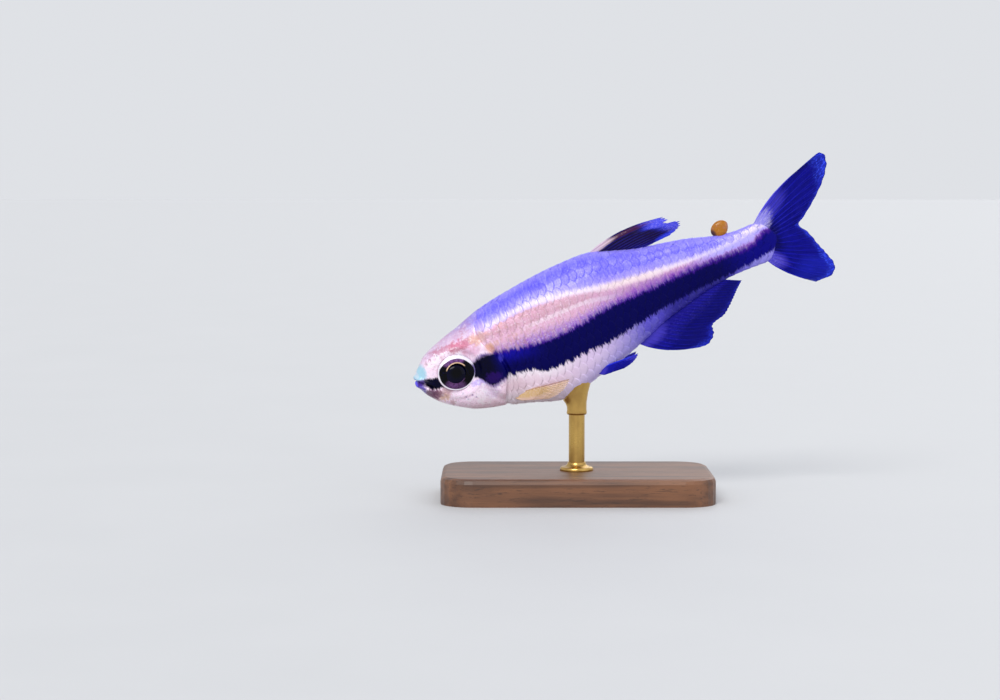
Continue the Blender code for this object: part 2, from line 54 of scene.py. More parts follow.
import bmesh
import bpy
import numpy as np
from bpy.props import FloatProperty, FloatVectorProperty, IntProperty, PointerProperty
from mathutils import Matrix, Vector
from mathutils.bvhtree import BVHTree

bl_info = {
    "name": "Royal Tetra Model",
    "version": (1, 0, 0),
    "blender": (4, 5, 0),
    "location": "View3D > Sidebar > Royal Tetra",
    "description": "Makes the finish of a life-size royal tetra on its display stand",
    "category": "Add Mesh",
}

STANDARD_LENGTH = 0.030
NOSE_DOWN = math.radians(22.3)
MERGE_DISTANCE = 1e-7

# The body's plan, the same as the solids': share along, back ridge, belly line, half width,
# height of the widest point, fullness of the back and of the belly (2 is an ellipse)
STATION_COLUMNS = ("share", "back", "belly", "half", "widest", "back_full", "belly_full")
STATIONS = (
    (0.000, 0.020, -0.018, 0.020, 0.002, 2.0, 2.0),
    (0.020, 0.034, -0.047, 0.031, -0.004, 2.1, 2.1),
    (0.050, 0.060, -0.080, 0.042, -0.010, 2.2, 2.2),
    (0.117, 0.086, -0.124, 0.055, -0.012, 2.2, 2.3),
    (0.160, 0.098, -0.140, 0.060, -0.010, 2.1, 2.3),
    (0.205, 0.113, -0.150, 0.065, -0.008, 2.1, 2.2),
    (0.270, 0.128, -0.168, 0.070, -0.010, 2.0, 2.2),
    (0.350, 0.140, -0.193, 0.074, -0.015, 2.0, 2.2),
    (0.410, 0.147, -0.189, 0.074, -0.014, 2.0, 2.1),
    (0.470, 0.151, -0.172, 0.070, -0.008, 2.0, 2.0),
    (0.560, 0.150, -0.149, 0.061, 0.000, 1.9, 1.9),
    (0.620, 0.132, -0.128, 0.052, 0.004, 1.9, 1.8),
    (0.690, 0.110, -0.101, 0.043, 0.006, 1.9, 1.7),
    (0.760, 0.097, -0.083, 0.035, 0.006, 1.9, 1.7),
    (0.830, 0.082, -0.066, 0.027, 0.005, 1.9, 1.8),
    (0.890, 0.064, -0.058, 0.022, 0.003, 1.9, 1.9),
    (0.950, 0.053, -0.056, 0.018, 0.000, 2.0, 2.0),
    (1.000, 0.053, -0.058, 0.013, -0.002, 2.0, 2.0),
)

# The nose is rounded off over its first share. Behind the tail fin's root the body thins and
# narrows to its end, which bulges back along the mid line
NOSE_ROUND = 0.020
TAIL_END = 1.040
TAIL_BULGE = 0.014
TAIL_THINNING = 0.90
TAIL_NARROWING = 0.75

# The gill covers' rear edge: its share along, how far back its middle reaches and at what height,
# how high it reaches, how far along the skin is carried with it, and the oval of the plate
GILL_EDGE = 0.205
GILL_BULGE = 0.038
GILL_MIDDLE = -0.050
GILL_REACH = 0.115
GILL_BLEND = 0.060
GILL_COVER_CENTRE = (0.214, -0.044)
GILL_COVER_HALF = (0.047, 0.085)

# Mouth, the nostrils as share along, share up and radius, and where the head's own forms end
MOUTH_SLOPE = math.tan(math.radians(40))
MOUTH_START = 0.008
MOUTH_CORNER = 0.046
NOSTRILS = ((0.048, 0.036, 0.0034), (0.060, 0.043, 0.0044))
RELIEF_END = 0.30

# Eyes: their place in shares along and up, how far out the solid's middle lies and the radius in
# metres, how much longer than high they are, how they turn to the front, and how far out the rim
# lies in shares
EYE_ALONG = 0.117
EYE_UP = -0.0135
EYE_OUT = 0.00108
EYE_RADIUS = 0.00145
EYE_LONG = 1.08
EYE_TILT = math.radians(5)
EYE_RIM_OUT = 0.0450
EYE_SHARE = EYE_RADIUS / STANDARD_LENGTH

# Fins, nearly as the solids have them. A tip is its place from the first ray, at 0, to the last,
# at 1, with its share along and its share up
DORSAL_BASE = (0.562, 0.690)
DORSAL_TIPS = (
    (0.00, 0.791, 0.161),
    (0.16, 0.802, 0.152),
    (0.30, 0.795, 0.143),
    (0.45, 0.826, 0.136),
    (0.65, 0.829, 0.125),
    (0.85, 0.815, 0.116),
    (1.00, 0.790, 0.109),
)
ANAL_BASE = (0.600, 0.868)
ANAL_TIPS = (
    (0.00, 0.752, -0.203),
    (0.08, 0.778, -0.203),
    (0.16, 0.800, -0.184),
    (0.26, 0.806, -0.160),
    (0.42, 0.845, -0.146),
    (0.62, 0.880, -0.118),
    (0.82, 0.905, -0.094),
    (1.00, 0.922, -0.078),
)
CAUDAL_BASE = (0.050, -0.054)
CAUDAL_TIPS = (
    (0.00, 1.200, 0.150),
    (0.07, 1.246, 0.164),
    (0.14, 1.254, 0.138),
    (0.24, 1.231, 0.096),
    (0.36, 1.182, 0.048),
    (0.45, 1.140, 0.016),
    (0.50, 1.122, 0.003),
    (0.56, 1.138, -0.024),
    (0.66, 1.152, -0.066),
    (0.78, 1.166, -0.104),
    (0.87, 1.174, -0.136),
    (0.94, 1.157, -0.159),
    (1.00, 1.110, -0.160),
)
CAUDAL_SWEEP = 0.0011
CAUDAL_STILL = 0.35
CAUDAL_ROOT = 1.004
ROOT_SINK = 0.0045
ADIPOSE_ALONG = 0.919
ADIPOSE_LIFT = 0.016
ADIPOSE_LEAN = math.radians(18)
ADIPOSE_HALF = (0.0262, 0.0095, 0.0212)

# Lines of the markings along the side, in shares along and up
WHITE_LINE = (
    (0.20, 0.070), (0.23, 0.072), (0.35, 0.084), (0.45, 0.076), (0.55, 0.058), (0.60, 0.050),
    (0.66, 0.042), (0.75, 0.033), (0.85, 0.028), (0.95, 0.031), (1.01, 0.041),
)
BAND_TOP = (
    (0.00, 0.004), (0.03, 0.000), (0.06, -0.007), (0.16, -0.008), (0.20, 0.000), (0.235, -0.006),
    (0.35, -0.025), (0.45, -0.025), (0.55, -0.010), (0.66, -0.006), (0.75, -0.003), (0.85, -0.001),
    (0.92, -0.002), (0.98, -0.002), (1.01, 0.012), (1.03, 0.019), (1.10, 0.024),
)
BAND_LOW = (
    (0.00, -0.014), (0.025, -0.018), (0.04, -0.031), (0.07, -0.038), (0.16, -0.044), (0.20, -0.081),
    (0.23, -0.076), (0.30, -0.080), (0.35, -0.099), (0.45, -0.097), (0.55, -0.090), (0.60, -0.081),
    (0.66, -0.073), (0.70, -0.066), (0.80, -0.055), (0.85, -0.053), (0.90, -0.050), (0.95, -0.045),
    (1.00, -0.037), (1.10, -0.030),
)
SIDE_SEAM = ((0.30, 0.028), (0.41, 0.031), (0.515, 0.030), (0.585, 0.017), (0.66, 0.010))
TOOTH_SPACING = 0.0225

# A marking's line is read from a curve whose square stands for this length and this height
LINE_REACH = 1.30
LINE_HEIGHT = 0.50

WHITE = (1.0, 1.0, 1.0)


def hexa(text):
    """A colour written as six hex digits, as the linear values that Blender's sockets take."""
    parts = [int(text[i:i + 2], 16) / 255 for i in (0, 2, 4)]
    return tuple(p / 12.92 if p <= 0.04045 else ((p + 0.055) / 1.055) ** 2.4 for p in parts)


def length(name, description, default):
    return FloatProperty(name=name, description=description, default=default, precision=5,
                         unit="LENGTH")


def share(name, description, default):
    return FloatProperty(name=name, description=description + ", as a share of the standard length",
                         default=default, precision=4)


def paint(name, description, text):
    return FloatVectorProperty(name=name, description=description, default=hexa(text),
                               subtype="COLOR", min=0.0, max=1.0)


class TetraSizes(bpy.types.PropertyGroup):
    """Sizes of the finish."""

    scale_spacing: share("Scale spacing", "From one scale to the next in its row", 0.0225)
    row_spacing: share("Row spacing", "From one row of scales to the next", 0.0300)
    scale_thickness: length("Scale thickness", "Thickness of one scale", 0.000008)
    scale_rise: length("Scale rise", "Height of a scale's free edge over the skin", 0.000021)
    skin_depth: length("Skin depth", "How deep the skin lies where scales cover it", 0.00009)
    membrane: length("Membrane", "Thickness of a fin's membrane", 0.00005)
    ray_radius: length("Ray radius", "Radius of a fin ray at its root", 0.000085)
    eye_dome: length("Eye dome", "How far the eye bulges over its own rim", 0.00036)


class TetraColours(bpy.types.PropertyGroup):
    """Colours of the fish and its stand."""

    # Back violet also paints highlights at the gill opening and at the lips' tip.
    back: paint("Back", "Violet blue of the back", "625af0")
    ridge: paint("Ridge", "Paler crown of the back", "aea2f6")
    # The white line is partly painted highlight of the scales.
    white_line: paint("White line", "Bright line over the flank", "e4d2ea")
    flank: paint("Flank", "Rosy zone between the white line and the band", "cc9ab4")
    flank_low: paint("Lower flank", "Violet foot of the rosy zone", "9868c6")
    flank_pink: paint("Pink flank", "Lilac pink of the middle of the rosy zone", "deaccc")
    purple: paint("Purple", "Purple of the rear flank over the band", "803cb0")
    hem: paint("Hem", "Dark violet hem on the band's upper edge", "3c1488")
    band: paint("Band", "Nearly black blue of the band", "01004a")
    band_blue: paint("Band blue", "Bluer front and top of the band", "100a9c")
    # Belly lavender also paints the highlight at the dorsal fin's front root.
    belly: paint("Belly", "Pale lavender of the belly", "ead0e0")
    # Tooth white also paints highlights on the forehead, the upper lip and the upper head, and the sheen
    # toward the keel.
    tooth: paint("Tooth", "White scales under the band", "f4ecf6")
    rear_belly: paint("Rear belly", "Clear violet blue over the anal fin", "4c42c4")
    shade: paint("Shade", "Deep violet blue between the band and the anal fin", "10097e")
    cheek: paint("Cheek", "Pinkish white of the snout and cheek", "f8def4")
    brow: paint("Brow", "Lilac pink of the forehead", "d0b2d2")
    crown: paint("Crown", "Grey violet of the head's top", "9c84cc")
    lip: paint("Lip", "Pale cyan of the upper lip", "9ccfe2")
    jaw: paint("Jaw", "Purple blue of the lower jaw's tip", "3a2aa4")
    red: paint("Red", "Red patches over and behind the eye", "ba627c")
    gold: paint("Gold", "Gold and orange glints behind the eye", "dfa880")
    maroon: paint("Maroon", "Maroon behind the jaw's tip", "5c2450")
    brown: paint("Brown", "Brown of the chin", "a87a78")
    # The eye ring's wider crescent at the top is painted highlight.
    eye_ring: paint("Eye ring", "White rim of the eye", "f2ecf8")
    iris: paint("Iris", "Purple of the iris, over and under the pupil", "8a5a9e")
    # Cream also paints the glint over the pupil, which is a painted highlight.
    cream: paint("Cream", "Cream gold of the arc over the pupil and of the chin", "eec8a4")
    pupil: paint("Pupil", "Black of the pupil", "020206")
    fin: paint("Fin", "Royal blue of the fins", "03037c")
    fin_tip: paint("Fin tip", "Bright blue of the fins' edges", "2c3cf0")
    fin_spark: paint("Fin spark", "Bright specks on the fins' edges", "3c58ff")
    fin_ray: paint("Fin ray", "Rays of the fins", "1a1ab8")
    fin_root: paint("Fin root", "Pale violet at the roots of the fins", "a8a0ec")
    fin_smoke: paint("Fin smoke", "Brown purple in the dorsal fin", "160a34")
    pectoral: paint("Pectoral", "Yellow ochre of the pectoral fins", "c8a24c")
    adipose: paint("Adipose", "Orange of the adipose fin", "a66816")
    wood: paint("Wood", "Dark wood of the base", "4a2c1a")
    wood_light: paint("Wood grain", "Lighter grain of the base", "7a4e30")
    wood_pore: paint("Wood pores", "Dark pores of the base", "26170e")
    metal: paint("Metal", "Brass of the rod", "c9a45c")
    floor: paint("Floor", "Pale floor", "c5c6c8")


class TetraStage(bpy.types.PropertyGroup):
    """The camera and the lights."""

    elevation: FloatProperty(name="Elevation", description="How far the camera looks down",
                             default=math.radians(4), subtype="ANGLE")
    lens: FloatProperty(name="Lens", description="Focal length of the camera, in millimetres",
                        default=85.0, min=10.0)
    key: FloatProperty(name="Key light", description="Strength of the main light",
                       default=1.7, min=0.0)
    sky: FloatProperty(name="Sky light", description="Strength of the light from all round",
                       default=0.86, min=0.0)
    seed: IntProperty(name="Seed", description="Start of the random draws", default=7)


def smooth_between(low, high, value):
    """0 below low, 1 above high and an even S between them."""
    part = min(1.0, max(0.0, (value - low) / (high - low)))
    return part * part * (3 - 2 * part)


def bump_at(value, centre, width):
    """A round hump, 1 at its centre."""
    return math.exp(-(((value - centre) / width) ** 2))


def curve_through(rows, column, at):
    """Reads one column of the rows at a place between them, on a smooth curve."""
    last = len(rows) - 1
    at = min(max(at, rows[0][0]), rows[last][0])
    left = max(i for i in range(last) if rows[i][0] <= at)

    def slope(i):
        before, after = max(i - 1, 0), min(i + 1, last)
        return (rows[after][column] - rows[before][column]) / (rows[after][0] - rows[before][0])

    step = rows[left + 1][0] - rows[left][0]
    t = (at - rows[left][0]) / step
    start, end = rows[left][column], rows[left + 1][column]
    return (
        (2 * t**3 - 3 * t**2 + 1) * start
        + (t**3 - 2 * t**2 + t) * step * slope(left)
        + (3 * t**2 - 2 * t**3) * end
        + (t**3 - t**2) * step * slope(left + 1)
    )


@lru_cache(maxsize=None)
def station(along):
    """The body's section at a share of its length, rounded off at the nose and the tail."""
    row = {
        name: curve_through(STATIONS, column, along)
        for column, name in enumerate(STATION_COLUMNS)
    }
    if along < NOSE_ROUND:
        rounding = math.sqrt(max(0.0, 1 - (1 - along / NOSE_ROUND) ** 2))
        for name in ("back", "belly", "half"):
            middle = 0.0 if name == "half" else row["widest"]
            row[name] = middle + (row[name] - middle) * rounding
    if along > 1.0:
        past = (along - 1.0) / (TAIL_END - 1.0)
        row["half"] *= 1 - TAIL_THINNING * past
        for name in ("back", "belly"):
            row[name] *= math.sqrt(1 - TAIL_NARROWING * past**2)
    return SimpleNamespace(**row)


def gill_shift(along, up):
    """How far back the gill cover's round edge carries a point of the skin, in shares."""
    near_edge = smooth_between(GILL_BLEND, 0.0, abs(along - GILL_EDGE))
    height = min(1.0, abs(up - GILL_MIDDLE) / GILL_REACH)
    return GILL_BULGE * near_edge * math.cos(math.pi / 2 * height) ** 2


def body_point(along, turn):
    """A point of the body. turn is 0 at the back, 1 at the belly by the left side, and 2 back up."""
    row = station(along)
    rising, across = math.cos(math.pi * turn), math.sin(math.pi * turn)
    upper = rising >= 0
    power = 2 / (row.back_full if upper else row.belly_full)
    reach = (row.back if upper else row.belly) - row.widest
    up = row.widest + reach * abs(rising) ** power
    out = row.half * math.copysign(abs(across) ** power, across)
    shift = gill_shift(along, up)
    if along > 1.0:
        shift += TAIL_BULGE * (along - 1.0) / (TAIL_END - 1.0) * (1 - (up / row.back) ** 2)
    return (along + shift, -out, up)


def eye_rim(along):
    """How far out the eye's rim lies at a place along, in shares."""
    return EYE_RIM_OUT + (along - EYE_ALONG) * math.tan(EYE_TILT)


def eye_distance(along, up):
    """Distance from the eye's middle in radii of the eye, which is a little longer than high."""
    return math.hypot((along - EYE_ALONG) / EYE_LONG, up - EYE_UP) / EYE_SHARE


def cover_relief(up, edge):
    """The gill cover: a plate with a groove and a ridge round it, a seam on it and the slit behind."""
    on_head = smooth_between(GILL_EDGE + 0.0015, GILL_EDGE - 0.0015, edge)
    cover = math.hypot((edge - GILL_COVER_CENTRE[0]) / GILL_COVER_HALF[0],
                       (up - GILL_COVER_CENTRE[1]) / GILL_COVER_HALF[1])
    plate = 0.0042 * smooth_between(1.06, 0.86, cover)
    groove = 0.0016 * bump_at(cover, 1.10, 0.07)
    ridge = 0.0008 * bump_at(cover, 0.86, 0.06)
    split = up + 0.085 + 0.35 * (edge - 0.17)
    seam = 0.0010 * bump_at(split, 0.0, 0.0035) * smooth_between(1.0, 0.9, cover)
    slit = 0.0045 * bump_at(edge, GILL_EDGE + 0.006, 0.006) * smooth_between(0.10, 0.04, up)
    return (plate - groove + ridge - seam) * on_head - slit


def mouth_relief(along, up):
    """The lips, the gape between them and the fold that runs down behind its corner."""
    mouth = up + along * MOUTH_SLOPE - MOUTH_START
    lips = smooth_between(0.060, 0.028, along) * smooth_between(0.0, 0.006, along)
    upper_lip = 0.0046 * bump_at(mouth, 0.0095, 0.0070) * lips
    lower_lip = 0.0062 * bump_at(mouth, -0.0110, 0.0085) * lips
    inside = smooth_between(MOUTH_CORNER + 0.006, MOUTH_CORNER, along)
    gape = 0.0085 * bump_at(mouth, 0.0, 0.0032) * inside
    maxilla = up + 0.048 + 0.9 * (along - 0.060)
    fold = 0.0012 * bump_at(maxilla, 0.0, 0.006) * bump_at(along, 0.058, 0.016)
    return upper_lip + lower_lip - gape + fold


def face_relief(along, up):
    """The nostrils, the groove under the eye and the rays of the gill membrane."""
    height = 0.0
    for place_along, place_up, radius in NOSTRILS:
        away = math.hypot(along - place_along, up - place_up) / radius
        rim = 0.0008 * bump_at(away, 1.35, 0.45)
        height += rim - 0.0040 * bump_at(away, 0.0, 0.75)
    away = eye_distance(along, up)
    height -= 0.0010 * bump_at(away, 1.55, 0.10) * smooth_between(0.02, -0.02, up)
    for branch in range(4):
        ray = up + 0.118 + 0.010 * branch + 0.30 * (along - 0.12)
        height -= 0.0006 * bump_at(ray, 0.0, 0.0022) * bump_at(along, 0.155, 0.045)
    return height


def relief(along, up, edge):
    """Height of the skin's own forms over the plain body, in shares. edge is the unshifted share."""
    if edge > RELIEF_END:
        return 0.0
    return cover_relief(up, edge) + mouth_relief(along, up) + face_relief(along, up)


def spread(start, end, count, power=1.0):
    """Shares from start to end, closer together near the start where the power is over 1."""
    return [start + (end - start) * (i / count) ** power for i in range(count)]


RING_PLACES = (
    spread(0.0, 0.020, 14, 1.8) + spread(0.020, 0.190, 96) + spread(0.190, 0.222, 34)
    + spread(0.222, 1.0, 130) + spread(1.0, TAIL_END, 12) + [TAIL_END]
)
TURNS = 192
SKIN_INSET = 0.0008
EYE_REACH = 1.5
EYE_HOLLOW = 0.018


@lru_cache(maxsize=None)
def body_table():
    """The finished skin as rings of points with their outward normals, in shares.

    plain holds the body without its inset, for scales; skin lies deeper where scales cover it.
    """
    turns = [2 * j / TURNS for j in range(TURNS + 1)]
    points = np.array([[body_point(along, turn) for turn in turns] for along in RING_PLACES])
    points[:, -1] = points[:, 0]
    normals = outward(points)
    heights = np.zeros(points.shape[:2])
    for i, along in enumerate(RING_PLACES):
        if along < RELIEF_END:
            heights[i] = [relief(point[0], point[2], along) for point in points[i]]
    plain = points + normals * heights[..., None]
    sink_eyes(plain)
    depth = bpy.context.scene.tetra_sizes.skin_depth / STANDARD_LENGTH
    inset = np.array([
        (SKIN_INSET + depth * smooth_between(GILL_EDGE, GILL_EDGE + 0.02, along))
        * smooth_between(1.035, 0.995, along)
        for along in RING_PLACES
    ])
    normals = outward(plain)
    skin = plain - normals * inset[:, None, None]
    return SimpleNamespace(plain=plain, normals=normals, skin=skin)


def outward(points):
    """Normals of a table of rings, which all point out of the body."""
    around = np.gradient(points, axis=1)
    around[:, 0] = around[:, -1] = points[:, 1] - points[:, -2]
    normals = np.cross(around, np.gradient(points, axis=0))
    sizes = np.linalg.norm(normals, axis=2, keepdims=True)
    normals = np.where(sizes > 1e-12, normals / np.maximum(sizes, 1e-12), (-1.0, 0.0, 0.0))
    middle = points.mean(axis=1, keepdims=True)
    flip = np.sign((normals * (points - middle)).sum(axis=(1, 2)))[:, None, None]
    return normals * np.where(flip == 0, 1, flip)


def sink_eyes(points):
    """Lowers the skin round each eye to the eye's rim, and under the eye."""
    for point in points.reshape(-1, 3):
        away = eye_distance(point[0], point[2])
        if away > EYE_REACH or abs(point[1]) < 0.02:
            continue
        side = math.copysign(1.0, point[1])
        rim = eye_rim(point[0]) + 0.0010 * bump_at(away, 1.07, 0.06)
        rim -= EYE_HOLLOW * smooth_between(0.99, 0.88, away)
        blend = smooth_between(1.42, 1.06, away)
        point[1] += (side * rim - point[1]) * blend


class Value:
    """What a material works out at each point. Sums on it add Math nodes."""

    def __init__(self, finish, socket):
        self.finish = finish
        self.socket = socket

    def math(self, operation, *inputs):
        return self.finish.node("ShaderNodeMath", {"operation": operation}, inputs)

    def __add__(self, other):
        return self.math("ADD", self, other)

    def __sub__(self, other):
        return self.math("SUBTRACT", self, other)

    def __rsub__(self, other):
        return self.math("SUBTRACT", other, self)

    def __mul__(self, other):
        return self.math("MULTIPLY", self, other)

    def __truediv__(self, other):
        return self.math("DIVIDE", self, other)

    def __rtruediv__(self, other):
        return self.math("DIVIDE", other, self)

    def __pow__(self, other):
        return self.math("POWER", self, other)

    __radd__ = __add__
    __rmul__ = __mul__


class Finish:
    """A material whose nodes are written out as sums and calls."""

    def __init__(self, name, **sockets):
        self.material = bpy.data.materials.new(name)
        self.material.use_nodes = True
        self.tree = self.material.node_tree
        self.shader = self.tree.nodes["Principled BSDF"]
        self.set(**sockets)

    def set(self, **sockets):
        """Sets or links the shader's sockets. Coat_Weight stands for Coat Weight."""
        for name, value in sockets.items():
            self.feed(self.shader.inputs[name.replace("_", " ")], value)

    def feed(self, socket, value):
        """Links a worked-out value to a socket, or sets the socket to a plain one."""
        if isinstance(value, Value):
            self.tree.links.new(value.socket, socket)
        elif socket.type == "RGBA":
            socket.default_value = (*value[:3], 1.0)
        else:
            socket.default_value = value

    def node(self, kind, settings, inputs=(), output=0):
        """A node by its type, its settings and its sockets' values, given in order or by key."""
        made = self.tree.nodes.new(kind)
        for name, value in settings.items():
            if name == "stops":
                curve = made.mapping.curves[0]
                for point, place in zip(curve.points, (value[0], value[-1])):
                    point.location = place
                for place in value[1:-1]:
                    curve.points.new(*place)
                made.mapping.extend = "HORIZONTAL"
                made.mapping.update()
            else:
                setattr(made, name, value)
        pairs = inputs.items() if isinstance(inputs, dict) else enumerate(inputs)
        for key, value in pairs:
            self.feed(made.inputs[key], value)
        return Value(self, made.outputs[output])

    def sine(self, value):
        return self.node("ShaderNodeMath", {"operation": "SINE"}, (value,))

    def attribute(self, name):
        return self.node("ShaderNodeAttribute", {"attribute_name": name}, output="Vector")

    def factor(self, name):
        return self.node("ShaderNodeAttribute", {"attribute_name": name}, output="Fac")

    def parts(self, vector):
        """The three numbers of a vector."""
        split = self.node("ShaderNodeSeparateXYZ", {}, (vector,))
        return [Value(self, socket) for socket in split.socket.node.outputs]

    def uv(self, name):
        return self.parts(self.node("ShaderNodeUVMap", {"uv_map": name}))[:2]

    def stretched(self, vector, sizes):
        return self.node("ShaderNodeVectorMath", {"operation": "MULTIPLY"}, (vector, sizes))

    def object_place(self, sizes=(1.0, 1.0, 1.0)):
        place = self.node("ShaderNodeTexCoord", {}, output="Object")
        return self.stretched(place, sizes)

    def noise(self, vector, scale, detail=4.0, roughness=0.55):
        values = {"Vector": vector, "Scale": scale, "Detail": detail, "Roughness": roughness}
        return self.node("ShaderNodeTexNoise", {}, values)

    def step(self, value, low, high):
        """0 where the value is at low, 1 at high, with an even S between them."""
        settings = {"interpolation_type": "SMOOTHSTEP"}
        return self.node("ShaderNodeMapRange", settings, (value, low, high))

    def between(self, value, start, full, fading, end):
        """1 from full to fading, and 0 before start and past end."""
        return self.step(value, start, full) * self.step(value, end, fading)

    def mix(self, mask, first, second):
        """A colour that goes from first to second as the mask goes from 0 to 1."""
        sockets = {0: mask, 6: first, 7: second}
        return self.node("ShaderNodeMix", {"data_type": "RGBA"}, sockets, 2)

    def layers(self, colour, *rows):
        """Lays colours over a colour one after the other. A row is a mask and a colour."""
        for mask, second in rows:
            colour = self.mix(mask, colour, second)
        return colour

    def line(self, along, points):
        """The height of a marking's line at a place along."""
        stops = [(x / LINE_REACH, y / LINE_HEIGHT + 0.5) for x, y in points]
        read = self.node("ShaderNodeFloatCurve", {"stops": stops}, {"Value": along / LINE_REACH})
        return (read - 0.5) * LINE_HEIGHT

    def patches(self, colour, x, y, rows):
        """Lays soft ovals over a colour. A row is a centre, half sizes, a colour and a strength."""
        for centre_x, centre_y, half_x, half_y, second, strength in rows:
            away = ((x - centre_x) / half_x) ** 2 + ((y - centre_y) / half_y) ** 2
            colour = self.mix(self.step(away, 1.6, 0.25) * strength, colour, second)
        return colour

    def bump(self, height, distance, strength=1.0, normal=None):
        values = {"Strength": strength, "Distance": distance, "Height": height}
        if normal:
            values["Normal"] = normal
        return self.node("ShaderNodeBump", {}, values)


def marking_lines(finish, along, wander):
    """Heights of the markings' edges, of the back's ridge and of the keel at a place along."""
    return SimpleNamespace(
        white=finish.line(along, WHITE_LINE) + wander,
        head_top=finish.line(along, BAND_TOP) + wander,
        head_low=finish.line(along, BAND_LOW) + wander,
        ridge=finish.line(along, [(row[0], row[1]) for row in STATIONS]),
        keel=finish.line(along, [(row[0], row[2]) for row in STATIONS]),
        seam=finish.line(along, SIDE_SEAM),
    )


def markings(finish, colours, place, ragged):
    """The body's colours. place holds share along, height and the unshifted share."""
    along, up, edge = finish.parts(place)
    flat = finish.stretched(place, (1.0, 1.0, 0.0))
    grain = finish.noise(finish.stretched(place, (1.0, 1.6, 0.0)), 42.0)
    fine = finish.noise(flat, 190.0, 3.0, 0.7)
    comb = finish.noise(finish.stretched(place, (3.2, 0.6, 0.0)), 60.0, 3.0, 0.65)
    mottle = finish.noise(flat, 92.0, 4.0, 0.6)
    wander = (grain - 0.5) * ragged + (comb - 0.5) * 0.018
    wave = finish.sine(along * (math.pi / TOOTH_SPACING))
    tooth = wave * wave * (grain + 0.5) - 0.5
    soft = finish.step(along, 0.60, 0.85)
    lines = marking_lines(finish, along, wander)
    lines.top = lines.head_top + tooth * 0.003 + (comb - 0.5) * (0.012 - soft * 0.007)
    lines.low = lines.head_low - tooth * (finish.step(along, 0.64, 0.46) * 0.0035 + 0.0020)
    lines.low = lines.low + (comb - 0.5) * (0.020 - soft * 0.012)
    top, low = lines.top, lines.low
    look = SimpleNamespace(
        flat=flat, along=along, up=up, edge=edge, grain=grain, fine=fine, comb=comb,
        mottle=mottle, wander=wander, soft=soft,
    )
    look.band = band_colour(finish, colours, look, lines)
    body = body_colours(finish, colours, look, lines)
    head = head_colours(finish, colours, look, lines)
    nape = finish.step(up, -0.005, 0.035)
    start = finish.step(edge, nape * -0.030 + (GILL_EDGE - 0.002), nape * 0.045 + (GILL_EDGE + 0.002))
    look.colour = finish.patches(finish.mix(start, head, body), along + wander, up + wander, (
        (0.226, 0.014, 0.013, 0.014, colours.gold, 0.60),
        # Painted highlight: a violet-blue streak along the gill opening's edge.
        (0.243, -0.019, 0.006, 0.013, colours.back, 0.34),
        (0.245, -0.112, 0.038, 0.032, colours.brown, 0.22),
    ))
    in_band = finish.between(up, low - 0.004, low + 0.004, top - 0.002, top + 0.006)
    under = finish.step(up, low + 0.004, low - 0.004) * finish.step(along, 0.58, 0.70)
    look.dark = in_band + under * 0.7
    look.shine = (finish.step(up, low, low + 0.01) * 0.14 + 0.08) * (1 - look.dark)
    return look


def band_colour(finish, colours, look, lines):
    """Nearly black blue: black behind the eye, bluer on its front and top, violet at its foot."""
    along, up = look.along, look.up
    blue = finish.step(up, lines.low + 0.02, lines.top) * finish.step(along, 0.38, 0.26)
    blue = blue * finish.step(along, 0.222, 0.258) * 0.85 + finish.step(along, 0.86, 0.98) * 0.4
    band = finish.layers(
        colours.band,
        (finish.step(along, 0.240, 0.205) * 0.85, colours.pupil),
        (blue + (look.fine - 0.5) * 0.25, colours.band_blue),
    )
    x, y = along + look.wander * 2, up + (look.mottle - 0.5) * 0.04
    return finish.patches(band, x, y, ((0.205, -0.064, 0.024, 0.016, colours.hem, 0.34),))


def belly_colour(finish, colours, look, lines):
    """Pale lavender, white between the band's teeth and violet blue over the anal fin."""
    along, up, low, comb = look.along, look.up, lines.low, look.comb
    over_keel = up - lines.keel
    rearward = finish.step(along, 0.28, 0.46)
    teeth = finish.step(up, low - 0.028, low - 0.004) * finish.step(along, 0.48, 0.32)
    return finish.layers(
        colours.belly,
        (finish.step(look.grain, 0.35, 0.7) * 0.4, colours.cheek),
        # Toward the keel: a lilac tint, strongest to the rear, and over it a white sheen, strongest at
        # the front. The sheen is painted light that stands in for light from below.
        (finish.step(over_keel, 0.050, 0.004) * (rearward * 0.34 + 0.28), colours.ridge),
        (finish.step(over_keel, 0.060, 0.010) * (0.8 - rearward * 0.6), colours.tooth),
        (finish.step(along, 0.30, 0.52) * 0.36, colours.ridge),
        (teeth * (comb + 0.15), colours.tooth),
        (finish.step(along + look.wander, 0.47, 0.66) * 0.97, colours.rear_belly),
        (finish.between(along, 0.665, 0.735, 0.87, 0.93) * (0.95 - comb * 0.3), colours.shade),
        (finish.step(along, 0.89, 0.99) * 0.55, colours.fin_root),
    )


